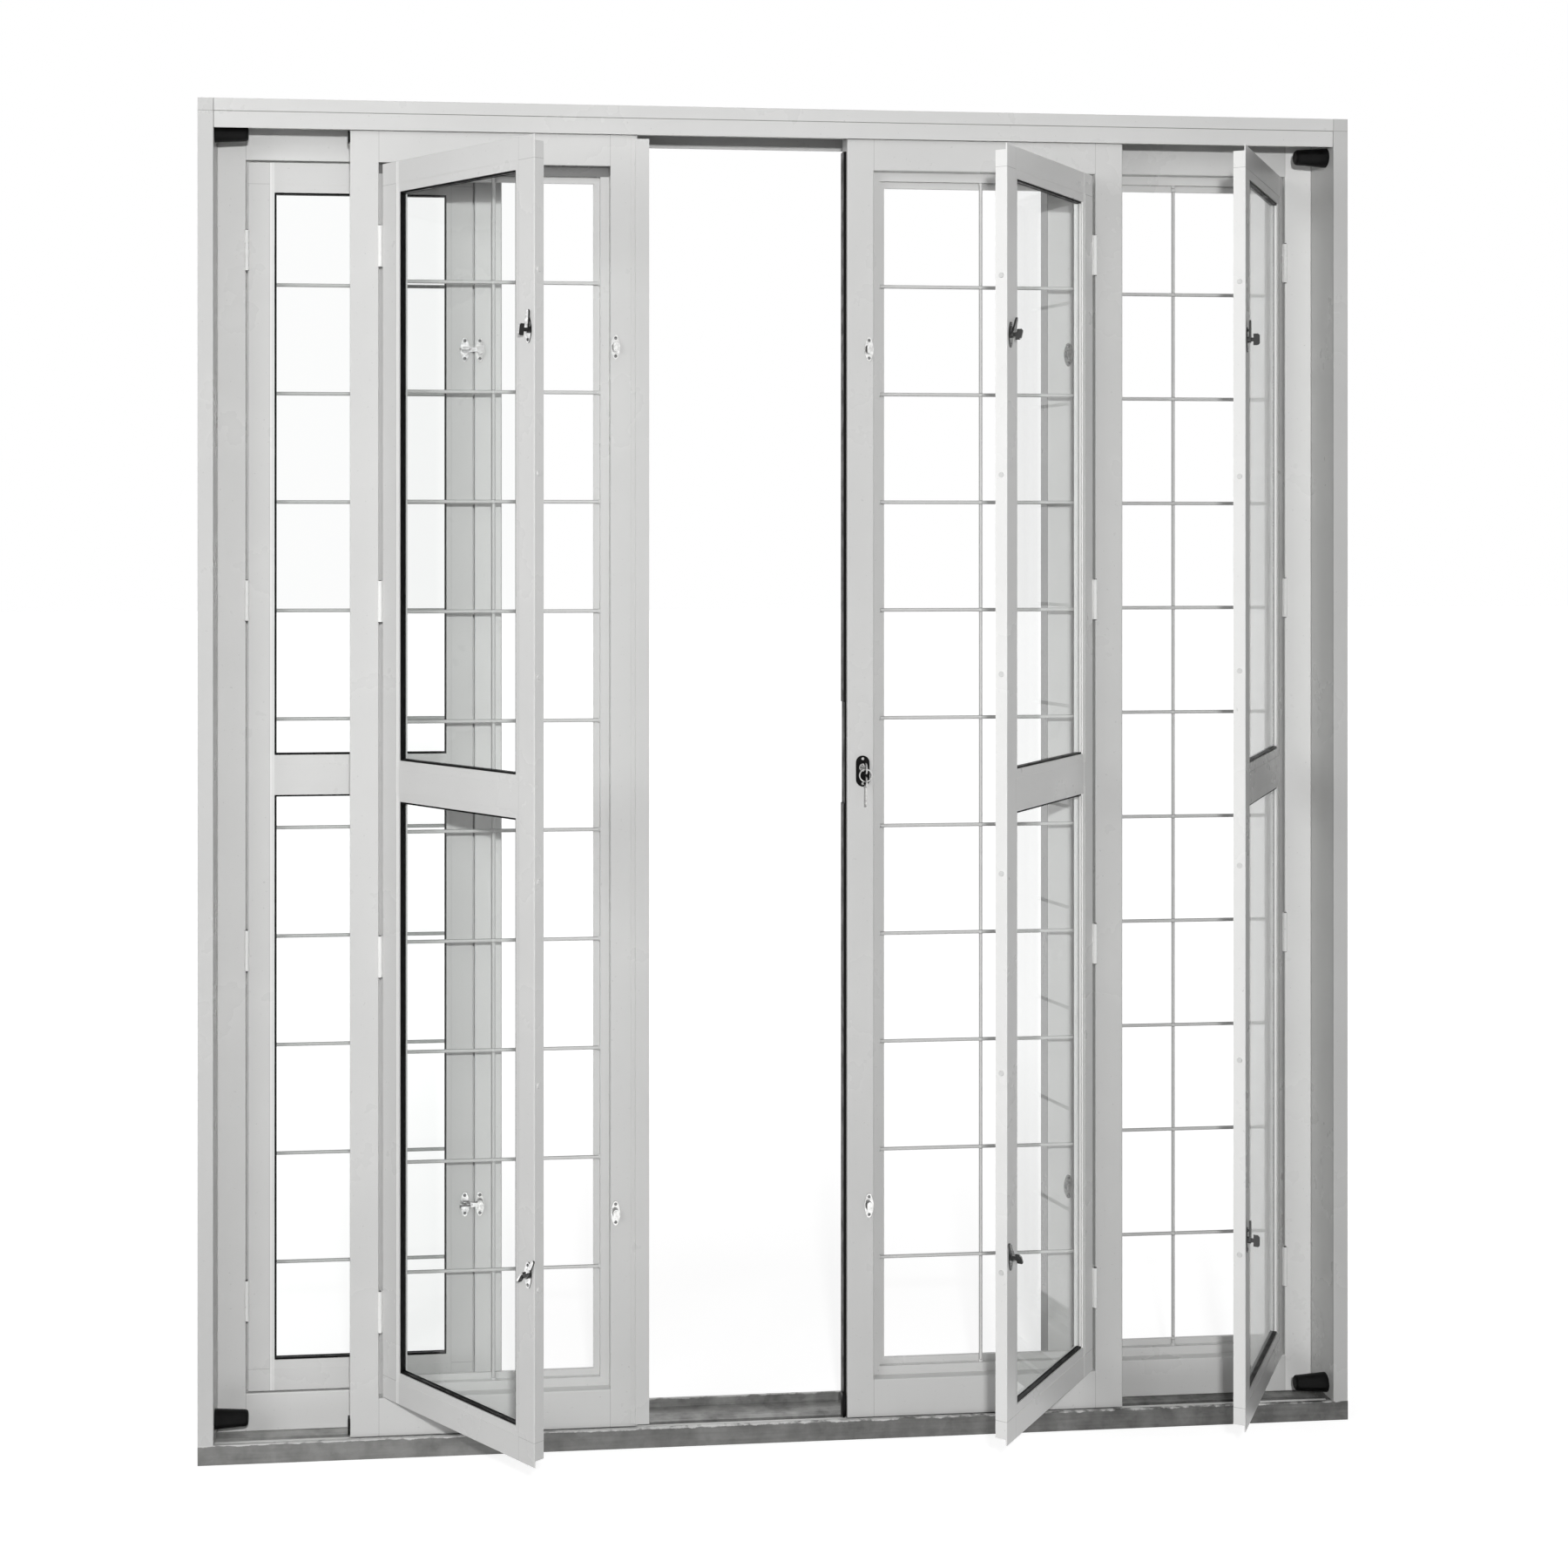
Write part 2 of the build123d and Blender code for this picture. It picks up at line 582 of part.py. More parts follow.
def build_hinges(leaf):
    """Four butt hinges: a knuckle of three barrels in front of the gap, one flap on the
    leaf's stile and one on the window's edge."""
    hand = leaf.hand
    leaf_flap = -hand * (HINGE_GAP - FLAP_THICK) / 2
    window_flap = hand * (HINGE_GAP - FLAP_THICK) / 2
    flap_depth = FLAP_DEPTH + KNUCKLE_RADIUS
    barrel_pitch = (KNUCKLE_LENGTH + BARREL_GAP) / KNUCKLE_BARRELS
    with BuildPart() as hinges:
        for number in range(HINGE_COUNT):
            low = HINGE_LOW + number * HINGE_PITCH - KNUCKLE_LENGTH / 2
            with BuildSketch(Plane.XY.offset(low)):
                with Locations((leaf.pivot_x, leaf.pivot_y)):
                    RegularPolygon(PIN_RADIUS, KNUCKLE_SIDES)
                with Locations((leaf.pivot_x + leaf_flap, leaf.pivot_y + flap_depth / 2)):
                    Rectangle(FLAP_THICK, flap_depth)
            extrude(amount=KNUCKLE_LENGTH)
            for barrel in range(KNUCKLE_BARRELS):
                with BuildSketch(Plane.XY.offset(low + barrel * barrel_pitch)):
                    with Locations((leaf.pivot_x, leaf.pivot_y)):
                        RegularPolygon(KNUCKLE_RADIUS, KNUCKLE_SIDES)
                extrude(amount=barrel_pitch - BARREL_GAP)
            with BuildSketch(leaf.window_plane(FLAP_DEPTH)):
                with Locations((window_flap, low + KNUCKLE_LENGTH / 2)):
                    Rectangle(FLAP_THICK, KNUCKLE_LENGTH)
            extrude(amount=flap_depth)
    save(hinges, f"{leaf.name}_hinges")


def build_catches(leaf):
    """Two turn catches: a screw plate, a boss, a tapered tongue close to the plate and a
    thumb piece that stands off it on a neck."""
    face = leaf.window_plane()
    across = leaf.hand * (HINGE_GAP / 2 + WINDOW_WIDTH - CATCH_INSET)
    with BuildPart() as catches:
        for height, tongue in zip(CATCH_HEIGHTS, leaf.tongues):
            axis_foot = face.from_local_coords((across, height, 0))
            seat = Plane(origin=axis_foot, x_dir=face.x_dir, z_dir=face.z_dir)
            along = leaf.hand * cos(radians(tongue)) * face.x_dir + sin(radians(tongue)) * face.y_dir
            turned = Plane(origin=axis_foot, x_dir=along, z_dir=face.z_dir)
            standing = Plane(origin=axis_foot, x_dir=along, z_dir=along.cross(face.z_dir))
            with BuildSketch(seat):
                add(screw_plate.sketch)
            extrude(amount=PLATE_THICK)
            with BuildSketch(seat):
                RegularPolygon(BOSS_RADIUS, BOSS_SIDES)
            extrude(amount=TONGUE_LIFT + TONGUE_THICK)
            with BuildSketch(turned.offset(TONGUE_LIFT)):
                with BuildLine():
                    Polyline(
                        (0, BOSS_RADIUS),
                        (TONGUE_LENGTH - TONGUE_WIDTH / 2, TONGUE_WIDTH / 2),
                        (TONGUE_LENGTH, TONGUE_WIDTH / 4),
                        (TONGUE_LENGTH, -TONGUE_WIDTH / 4),
                        (TONGUE_LENGTH - TONGUE_WIDTH / 2, -TONGUE_WIDTH / 2),
                        (0, -BOSS_RADIUS),
                        close=True,
                    )
                make_face()
            extrude(amount=TONGUE_THICK)
            with BuildSketch(standing) as thumb:
                box_sketch(-NECK_WIDTH / 2, NECK_WIDTH / 2, TONGUE_LIFT, THUMB_FROM)
                box_sketch(-THUMB_LENGTH / 2, THUMB_LENGTH / 2, THUMB_FROM, THUMB_TO)
                chamfer(thumb.vertices().group_by(Axis.Y)[-1], THUMB_CORNER)
            extrude(amount=THUMB_THICK / 2, both=True)
    save(catches, f"{leaf.name}_catches")


def build_keepers(leaf):
    """Two keepers on the leaf's other stile: a screw plate with a raised oval loop."""
    keeper_x = leaf.lock_x + leaf.hand * KEEPER_INSET
    with BuildPart() as keepers:
        for height in CATCH_HEIGHTS:
            seat = Plane(origin=(keeper_x, leaf.face, height), x_dir=(1, 0, 0), z_dir=(0, -1, 0))
            with BuildSketch(seat):
                add(screw_plate.sketch)
            extrude(amount=PLATE_THICK)
            with BuildSketch(seat):
                with GridLocations(0, LOOP_HEIGHT - LOOP_WIDTH, 1, 2):
                    RegularPolygon(LOOP_WIDTH / 2, LOOP_SIDES)
                make_hull()
            extrude(amount=LOOP_RISE)
            with BuildSketch(seat.offset(PLATE_THICK)):
                Rectangle(LOOP_WIDTH, LOOP_PASSAGE)
            extrude(amount=LOOP_RISE - LOOP_STRAP - PLATE_THICK, mode=Mode.SUBTRACT)
    save(keepers, f"{leaf.name}_keepers")


build_jamb("left_jamb", -1)
build_jamb("right_jamb", 1)
build_head()
build_fascia()
build_sill()
build_track()
build_head_guide()
build_bumpers("left_bumpers", -1, 0)
build_bumpers("right_bumpers", 1, RIGHT_BUMPER_DROP)
for one in LEAVES:
    build_leaf_frame(one)
    build_grille(one)
    build_window_frame(one)
    build_gaskets(one)
    build_glass(one)
    build_hinges(one)
    build_catches(one)
    build_keepers(one)

# The lip on the left sliding leaf, bent forward so that it laps over the other leaf.
with BuildPart() as meeting_lip:
    lip_low = SILL_HEIGHT + LIP_SILL_GAP
    lip_high = FASCIA_BOTTOM - LIP_TOP_GAP
    with BuildSketch(Plane.XY.offset(lip_low)):
        foot = (LEFT_SLIDER.right - EDGE_RADIUS - LIP_WIDTH / 2, LEFT_SLIDER.right - EDGE_RADIUS)
        lip_front = SLIDER_FACE - LIP_STANDOFF - LIP_THICK
        box_sketch(foot[1] - LIP_THICK, foot[1], lip_front, SLIDER_FACE)
        box_sketch(foot[0], foot[1], SLIDER_FACE - LIP_THICK, SLIDER_FACE)
        box_sketch(foot[1] - LIP_THICK, LEFT_SLIDER.right + LIP_WIDTH, lip_front, lip_front + LIP_THICK)
    extrude(amount=lip_high - lip_low)
save(meeting_lip, "left_slider_meeting_lip")

# The rubber seal on the right sliding leaf's meeting edge, broken by the lock's faceplate.
with BuildPart() as meeting_seal:
    seal_left = RIGHT_SLIDER.left - SEAL_THICK
    for low, high in ((SLIDER_BOTTOM, FACEPLATE_LOW), (FACEPLATE_HIGH, OPENING_HIGH + SEAL_RISE)):
        with BuildSketch(Plane.XY.offset(low)):
            with Locations(((seal_left + RIGHT_SLIDER.left) / 2, TRACK_Y)):
                Rectangle(SEAL_THICK, SEAL_DEPTH)
        extrude(amount=high - low)
save(meeting_seal, "right_slider_meeting_seal")

with BuildPart() as faceplate:
    with BuildSketch(Plane.XY.offset(FACEPLATE_LOW)):
        with Locations((RIGHT_SLIDER.left - FACEPLATE_THICK / 2, TRACK_Y)):
            Rectangle(FACEPLATE_THICK, SEAL_DEPTH)
    extrude(amount=FACEPLATE_HIGH - FACEPLATE_LOW)
save(faceplate, "lock_faceplate")

with BuildPart() as escutcheon:
    lock_x = RIGHT_SLIDER.left + ESCUTCHEON_INSET
    with BuildSketch(RIGHT_SLIDER.front_plane()):
        with Locations((lock_x, LOCK_CENTRE)):
            with GridLocations(0, ESCUTCHEON_HEIGHT - ESCUTCHEON_WIDTH, 1, 2):
                RegularPolygon(ESCUTCHEON_WIDTH / 2, LOCK_SIDES)
        make_hull()
        with Locations((lock_x, LOCK_CENTRE + CYLINDER_RISE)):
            RegularPolygon(CYLINDER_RADIUS, LOCK_SIDES, mode=Mode.SUBTRACT)
    extrude(amount=ESCUTCHEON_THICK)
save(escutcheon, "lock_escutcheon")

with BuildPart() as cylinder:
    with BuildSketch(RIGHT_SLIDER.front_plane()):
        with Locations((lock_x, LOCK_CENTRE + CYLINDER_RISE)):
            RegularPolygon(CYLINDER_RADIUS, LOCK_SIDES)
    extrude(amount=ESCUTCHEON_THICK + CYLINDER_PROUD)
save(cylinder, "lock_cylinder")

# One key in the cylinder, its bow upright, and a second one hanging from it on a ring.
with BuildPart() as keys:
    bow_y = SLIDER_FACE - ESCUTCHEON_THICK - CYLINDER_PROUD - KEY_SHOULDER - KEY_BOW_RADIUS
    bow_z = LOCK_CENTRE + CYLINDER_RISE
    hang = KEY_HOLE_RADIUS - RING_WIRE / 2 - RING_PLAY
    ring_z = bow_z - hang - RING_RADIUS
    second_z = ring_z - RING_RADIUS - hang
    with BuildSketch(Plane(origin=(lock_x, bow_y, bow_z), x_dir=(0, 1, 0), z_dir=(1, 0, 0))):
        RegularPolygon(KEY_BOW_RADIUS, KEY_BOW_SIDES)
        with Locations(((KEY_BOW_RADIUS + KEY_SHOULDER) / 2, 0)):
            Rectangle(KEY_BOW_RADIUS + KEY_SHOULDER, KEY_BLADE_WIDTH)
        RegularPolygon(KEY_HOLE_RADIUS, KEY_HOLE_SIDES, mode=Mode.SUBTRACT)
    extrude(amount=KEY_THICK / 2, both=True)
    with BuildSketch(Plane(origin=(lock_x, bow_y, second_z), x_dir=(0, 1, 0), z_dir=(1, 0, 0))):
        RegularPolygon(KEY_BOW_RADIUS, KEY_BOW_SIDES)
        with Locations((0, -(KEY_BOW_RADIUS + KEY_BLADE_LENGTH) / 2)):
            Rectangle(KEY_BLADE_WIDTH, KEY_BOW_RADIUS + KEY_BLADE_LENGTH)
        RegularPolygon(KEY_HOLE_RADIUS, KEY_HOLE_SIDES, mode=Mode.SUBTRACT)
    extrude(amount=KEY_THICK / 2, both=True)
    with BuildSketch(Plane(origin=(lock_x, bow_y, ring_z), x_dir=(1, 0, 0), z_dir=(0, -1, 0))):
        RegularPolygon(RING_RADIUS + RING_WIRE / 2, RING_SIDES)
        RegularPolygon(RING_RADIUS - RING_WIRE / 2, RING_SIDES, mode=Mode.SUBTRACT)
    extrude(amount=RING_WIRE / 2, both=True)
save(keys, "lock_keys")

# Two rollers in the pockets of each sliding leaf, on axles across the pocket.
for leaf in (LEFT_SLIDER, RIGHT_SLIDER):
    with BuildPart() as rollers:
        axle_z = RAIL_TOP + ROLLER_SEAT + ROLLER_RADIUS
        for roller_x in (leaf.left + ROLLER_INSET, leaf.right - ROLLER_INSET):
            with BuildSketch(Plane(origin=(roller_x, TRACK_Y, axle_z), x_dir=(1, 0, 0), z_dir=(0, -1, 0))):
                RegularPolygon(ROLLER_RADIUS, ROLLER_SIDES)
            extrude(amount=ROLLER_WIDTH / 2, both=True)
            with BuildSketch(Plane(origin=(roller_x, TRACK_Y, axle_z), x_dir=(1, 0, 0), z_dir=(0, -1, 0))):
                RegularPolygon(AXLE_RADIUS, AXLE_SIDES)
            extrude(amount=POCKET_WIDTH / 2, both=True)
    save(rollers, f"{leaf.name}_rollers")
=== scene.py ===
"""Painted steel sliding door seen from the room side: two fixed and two sliding leaves with welded
grilles and hinged glazed windows, on a bare galvanised sill. It stands in a plain white studio."""
import math

import bmesh
import bpy
from mathutils import Matrix, Vector


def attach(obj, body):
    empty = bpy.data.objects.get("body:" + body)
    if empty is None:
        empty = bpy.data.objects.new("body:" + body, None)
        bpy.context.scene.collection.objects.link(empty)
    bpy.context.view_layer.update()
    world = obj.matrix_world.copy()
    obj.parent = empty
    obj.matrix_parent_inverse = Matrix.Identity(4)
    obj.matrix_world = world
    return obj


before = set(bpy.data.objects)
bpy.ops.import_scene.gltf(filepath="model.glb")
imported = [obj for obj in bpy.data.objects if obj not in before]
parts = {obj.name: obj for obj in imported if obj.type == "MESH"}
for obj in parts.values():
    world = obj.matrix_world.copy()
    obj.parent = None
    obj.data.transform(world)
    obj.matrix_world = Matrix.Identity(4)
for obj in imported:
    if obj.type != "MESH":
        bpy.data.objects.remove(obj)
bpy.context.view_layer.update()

# Sprayed enamel. All the pressed steel is sprayed with one light grey-white gloss enamel after
# welding. It dries with a fine orange peel, a little dust in it, and clouds where it lies thinner.
ENAMEL = (0.700, 0.700, 0.692)
ENAMEL_THIN = (0.670, 0.670, 0.663)
ENAMEL_DIRT_AND_SHADE = (0.20, 0.20, 0.195, 1)
ENAMEL_RELIEF = 0.0002
CLOUD_SCALE = 6.0
RUN_SCALE = (30.0, 30.0, 1.6)
PEEL_SCALE = 650.0
DUST_SCALE = 210.0
SCUFF_SCALE = (190.0, 190.0, 60.0)


def put(tree, kind, values, **settings):
    """Adds a node with its settings, and links or sets its inputs. Gives back its outputs."""
    node = tree.nodes.new(kind)
    for key, value in settings.items():
        setattr(node, key, value)
    for key, value in values.items():
        if isinstance(value, bpy.types.NodeSocket):
            tree.links.new(value, node.inputs[key])
        else:
            node.inputs[key].default_value = value
    return node.outputs


def calc(tree, operation, first, second=0.0):
    return put(tree, "ShaderNodeMath", {0: first, 1: second}, operation=operation)[0]


def times(tree, first, *others):
    for other in others:
        first = calc(tree, "MULTIPLY", first, other)
    return first


def spread(tree, value, low, high, to_low=0.0, to_high=1.0):
    """The value's range from low to high, drawn out over another range and held at its ends."""
    ends = {"From Min": low, "From Max": high, "To Min": to_low, "To Max": to_high}
    return put(tree, "ShaderNodeMapRange", {"Value": value, **ends})[0]


def tint(tree, share, first, second):
    return put(tree, "ShaderNodeMix", {0: share, 6: first, 7: second}, data_type="RGBA")[2]


def on_object(tree):
    return put(tree, "ShaderNodeTexCoord", {})["Object"]


def noise(tree, where, scale, detail=2.0):
    """Noise of one scale, or of a scale for each axis."""
    if isinstance(scale, tuple):
        where = put(tree, "ShaderNodeMapping", {"Vector": where, "Scale": scale})[0]
        scale = 1.0
    cloud = {"Vector": where, "Scale": scale, "Detail": detail, "Roughness": 0.55}
    return put(tree, "ShaderNodeTexNoise", cloud)[0]


def start_group(name, takes):
    """A shader node group: its tree, what goes in, and its colour, roughness and height."""
    group = bpy.data.node_groups.new(name, "ShaderNodeTree")
    gives = {"Color": "Color", "Roughness": "Float", "Height": "Float"}
    for direction, sockets in (("INPUT", takes), ("OUTPUT", gives)):
        for label, kind in sockets.items():
            socket_type = "NodeSocket" + kind
            group.interface.new_socket(label, in_out=direction, socket_type=socket_type)
    entry = group.nodes.new("NodeGroupInput")
    exit_node = group.nodes.new("NodeGroupOutput")
    return group, entry.outputs, exit_node.inputs


coat, taken, given = start_group(
    "sprayed_enamel", {"Paint": "Color", "Thin": "Color", "Dirt_And_Shade": "Color", "Lines": "Float"}
)
where = on_object(coat)
clouds = noise(coat, where, CLOUD_SCALE, 5.0)
runs = noise(coat, where, RUN_SCALE, 2.0)
peel = noise(coat, where, PEEL_SCALE, 1.5)
dust = spread(coat, noise(coat, where, DUST_SCALE), 0.71, 0.76)
scuffs = spread(coat, noise(coat, where, SCUFF_SCALE, 4.0), 0.66, 0.76)
thinness = calc(coat, "ADD", times(coat, clouds, 0.82), times(coat, runs, 0.18))
shade = tint(coat, spread(coat, thinness, 0.33, 0.70), taken["Paint"], taken["Thin"])
specks = times(coat, calc(coat, "MAXIMUM", dust, times(coat, scuffs, 0.12)), 0.22)
shade = tint(coat, specks, shade, taken["Dirt_And_Shade"])
# The line mask darkens seams, and on the grille rods it lays painted shade along their edges.
shade = tint(coat, taken["Lines"], shade, taken["Dirt_And_Shade"])
coat.links.new(shade, given["Color"])
dull = calc(coat, "ADD", clouds, times(coat, specks, 0.6))
coat.links.new(spread(coat, dull, 0.3, 0.9, 0.24, 0.42), given["Roughness"])
relief = calc(coat, "ADD", times(coat, peel, 0.22), times(coat, dust, 0.30))
relief = calc(coat, "SUBTRACT", relief, times(coat, taken["Lines"], 1.2))
coat.links.new(relief, given["Height"])


def finish_material(name, group, values, relief_depth, **constants):
    """A Principled material fed by a group's colour, roughness and height."""
    material = bpy.data.materials.new(name)
    material.use_nodes = True
    tree = material.node_tree
    surface = tree.nodes["Principled BSDF"]
    made = put(tree, "ShaderNodeGroup", values(tree), node_tree=group)
    tree.links.new(made["Color"], surface.inputs["Base Color"])
    tree.links.new(made["Roughness"], surface.inputs["Roughness"])
    bump = {"Height": made["Height"], "Strength": 0.5, "Distance": relief_depth}
    tree.links.new(put(tree, "ShaderNodeBump", bump)[0], surface.inputs["Normal"])
    for label, value in constants.items():
        surface.inputs[label.replace("_", " ")].default_value = value
    return material


def tone(colour, level):
    """A paint colour made lighter or darker. The real door has one paint: the levels are fitted
    to the photo under this scene's light."""
    return (*(level * c for c in colour), 1)


def painted(name, choose, lines=None):
    """The enamel on one part. Choose gives the function that turns a paint colour into the part's
    own tones, and lines is a mask of its seams."""

    def values(tree):
        pick = choose(tree)
        mask = lines(tree) if lines else 0.0
        tones = {"Paint": pick(ENAMEL), "Thin": pick(ENAMEL_THIN)}
        return {**tones, "Dirt_And_Shade": ENAMEL_DIRT_AND_SHADE, "Lines": mask}

    return finish_material(name, coat, values, ENAMEL_RELIEF)


def enamel(name, lines=None, level=1.0):
    """Enamel that lies equally thick all over the part. A level other than 1 makes it lighter or
    darker as painted light and shade.
    """
    return painted(name, lambda tree: lambda colour: tone(colour, level), lines)


# Outer frame. The jambs are folded boxes, and the head with its fascia strip lies between them,
# butted and welded at the corners, so a hair line shows where the head flange meets each jamb.
INNER_HALF = 0.915
HEAD_LOW = 2.130
END_JOINT = 0.0008
FLANGE_JOINT = 0.0007
JOINT_DARK = 0.55
JAMB_FRONT = -0.0622
JAMB_INSIDE = -0.0570


def axes(tree):
    return put(tree, "ShaderNodeSeparateXYZ", {0: on_object(tree)})


def dress(name, material):
    """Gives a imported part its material."""
    slots = parts[name].data.materials
    slots.clear()
    slots.append(material)


def stripe(tree, value, place, half):
    """1 on a thin line at that place, 0 off it."""
    off = calc(tree, "ABSOLUTE", calc(tree, "SUBTRACT", value, place))
    return spread(tree, off, half, half * 0.4)


def head_joints(tree):
    x, _, z = axes(tree)
    ends = stripe(tree, calc(tree, "ABSOLUTE", x), INNER_HALF, END_JOINT)
    flange = stripe(tree, z, HEAD_LOW, FLANGE_JOINT)
    return times(tree, calc(tree, "MAXIMUM", ends, flange), JOINT_DARK)


def jamb_enamel(name, front_painted_level, inside_painted_level):
    """A jamb's enamel in painted light and shade: one level on the front and a lighter one on the
    side facing the leaves.
    """

    def choose(tree):
        inside = spread(tree, axes(tree)[1], JAMB_FRONT, JAMB_INSIDE)
        return lambda colour: tint(
            tree, inside, tone(colour, front_painted_level), tone(colour, inside_painted_level)
        )

    return painted(name, choose, head_joints)


frame_paint = enamel("frame_enamel", head_joints)
for name in ("head", "fascia", "head_guide"):
    dress(name, frame_paint)
# Painted light and shade: the sides facing the leaves are lighter than the fronts, and the right
# jamb's front is darker.
dress("left_jamb", jamb_enamel("left_jamb_enamel", 0.90, 1.30))
dress("right_jamb", jamb_enamel("right_jamb_enamel", 0.83, 1.30))

# Weld dots. Where the head was tacked to the left jamb, three small lumps stand in a row at the
# top of the jamb's front. They weren't ground off, and the enamel lies over them.
WELD_DOTS_X = (-0.9370, -0.9300, -0.9233)
WELD_DOTS_Y = -0.0624
WELD_DOTS_Z = 2.1275
WELD_DOT_RADIUS = 0.0022


def finished(name, made, body, material, smooth_angle):
    """Turns a bmesh into a named piece that rides on a body."""
    bmesh.ops.recalc_face_normals(made, faces=made.faces[:])
    mesh = bpy.data.meshes.new(name)
    made.to_mesh(mesh)
    made.free()
    mesh.shade_smooth()
    mesh.set_sharp_from_angle(angle=math.radians(smooth_angle))
    mesh.materials.append(material)
    piece = bpy.data.objects.new(name, mesh)
    bpy.context.scene.collection.objects.link(piece)
    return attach(piece, body)


def bead(made, place, radius, squash):
    """A small rounded lump of weld at a point."""
    matrix = Matrix.Translation(place) @ Matrix.Diagonal((*squash, 1))
    bmesh.ops.create_uvsphere(made, u_segments=8, v_segments=5, radius=radius, matrix=matrix)


plain_paint = enamel("plain_enamel")
welds = bmesh.new()
for x in WELD_DOTS_X:
    bead(welds, (x, WELD_DOTS_Y, WELD_DOTS_Z), WELD_DOT_RADIUS, (1.0, 0.35, 0.8))
finished("left_jamb_weld_dots", welds, "frame", plain_paint, 60)

# Sill and track rail. The sill is folded from sheet that looks galvanised and bare: dull and
# mottled, darker to the right in painted shade, and lighter inside its channel as painted light.
# The tops of its lip and of the rail carry a painted highlight.
ZINC_LIGHT = (0.285, 0.285, 0.278, 1)
ZINC_DARK = (0.105, 0.105, 0.102, 1)
# The lighter zinc inside the channel is painted light.
ZINC_CHANNEL_LIT = (0.52, 0.52, 0.51, 1)
ZINC_METALLIC = 0.35
PAINTED_TOP_HIGHLIGHT = (0.66, 0.66, 0.65, 1)
SPANGLE_SCALE = 95.0
BLOTCH_SCALE = 24.0
SCRATCH_SCALE = (12.0, 260.0, 260.0)
RAGGED_SCALE = 60.0
LIP_LOW = 0.0265
LIP_HIGH = 0.0308
CHANNEL_FRONT = -0.056
CHANNEL_BACK = -0.050
RAIL_LOW = 0.0190
RAIL_HIGH = 0.0225

zinc, taken, given = start_group(
    "galvanised_sheet", {"Light": "Color", "Dark": "Color", "Highlight": "Color", "Highlight_Mask": "Float"}
)
where = on_object(zinc)
cells = put(zinc, "ShaderNodeTexVoronoi", {"Vector": where, "Scale": SPANGLE_SCALE})["Color"]
spangle = put(zinc, "ShaderNodeSeparateColor", {0: cells})[0]
blotches = noise(zinc, where, BLOTCH_SCALE, 6.0)
scratches = noise(zinc, where, SCRATCH_SCALE, 4.0)
# Painted shade: the zinc grows steadily darker to the right.
painted_shade_to_right = spread(zinc, axes(zinc)[0], -0.9, 0.9, 0.0, 0.62)
dark = calc(zinc, "ADD", painted_shade_to_right, times(zinc, spread(zinc, blotches, 0.35, 0.7), 0.42))
dark = calc(zinc, "ADD", dark, times(zinc, spangle, 0.12))
dark = calc(zinc, "ADD", dark, times(zinc, calc(zinc, "SUBTRACT", scratches, 0.5), 0.5))
bare_zinc_and_shadow_mask = tint(zinc, spread(zinc, dark, 0.0, 1.0), taken["Light"], taken["Dark"])
ragged = calc(zinc, "SUBTRACT", noise(zinc, where, RAGGED_SCALE, 5.0), 0.5)
ragged = calc(zinc, "ADD", taken["Highlight_Mask"], times(zinc, ragged, 1.5))
# The mask of the painted highlight, with ragged edges.
highlight_share = spread(zinc, ragged, 0.45, 0.70)
zinc.links.new(tint(zinc, highlight_share, bare_zinc_and_shadow_mask, taken["Highlight"]), given["Color"])
zinc.links.new(spread(zinc, blotches, 0.3, 0.7, 0.38, 0.62), given["Roughness"])
rough = calc(zinc, "ADD", times(zinc, scratches, 0.6), times(zinc, blotches, 0.5))
zinc.links.new(calc(zinc, "ADD", rough, times(zinc, highlight_share, 0.4)), given["Height"])


def sill_highlight(tree):
    """A painted highlight on the lip's top and along the upper edge of the front face, fading to
    the right, with the channel's zinc lighter as painted light.
    """
    x, y, z = axes(tree)
    mask = spread(tree, z, LIP_LOW, LIP_HIGH, 0.0, 0.86)
    mask = times(tree, mask, spread(tree, x, -0.9, 0.7, 1.0, 0.62))
    light = tint(tree, spread(tree, y, CHANNEL_FRONT, CHANNEL_BACK), ZINC_LIGHT, ZINC_CHANNEL_LIT)
    return {"Light": light, "Dark": ZINC_DARK, "Highlight": PAINTED_TOP_HIGHLIGHT, "Highlight_Mask": mask}


def rail_highlight(tree):
    """A painted highlight along the top of the rail."""
    mask = spread(tree, axes(tree)[2], RAIL_LOW, RAIL_HIGH, 0.0, 1.3)
    return {"Light": ZINC_LIGHT, "Dark": ZINC_DARK, "Highlight": PAINTED_TOP_HIGHLIGHT, "Highlight_Mask": mask}


dress("sill", finish_material("bare_sill", zinc, sill_highlight, 0.0004, Metallic=ZINC_METALLIC))
dress("track_rail", finish_material("bare_rail", zinc, rail_highlight, 0.0003, Metallic=ZINC_METALLIC))

# Rubber. The bumpers, the gaskets round the panes and the meeting seal are black moulded rubber,
# matt, with a soft bloom all over them.
BUMPER_BLACK = (0.0022, 0.0022, 0.0022)
BUMPER_BLOOM = (0.0085, 0.0085, 0.0085)
GASKET_BLACK = (0.0012, 0.0012, 0.0012)
GASKET_BLOOM = (0.0045, 0.0045, 0.0045)
GASKET_GRAIN = 1200.0
BLOOM_SCALE = 45.0
RUBBER_SHINE = 0.12

rubber_group, taken, given = start_group(
    "moulded_rubber", {"Black": "Color", "Bloom": "Color", "Grain": "Float"}
)
where = on_object(rubber_group)
bloom = spread(rubber_group, noise(rubber_group, where, BLOOM_SCALE, 5.0), 0.42, 0.78)
bloomed = tint(rubber_group, bloom, taken["Black"], taken["Bloom"])
rubber_group.links.new(bloomed, given["Color"])
rubber_group.links.new(spread(rubber_group, bloom, 0.0, 1.0, 0.34, 0.62), given["Roughness"])
rubber_group.links.new(noise(rubber_group, where, taken["Grain"], 3.0), given["Height"])


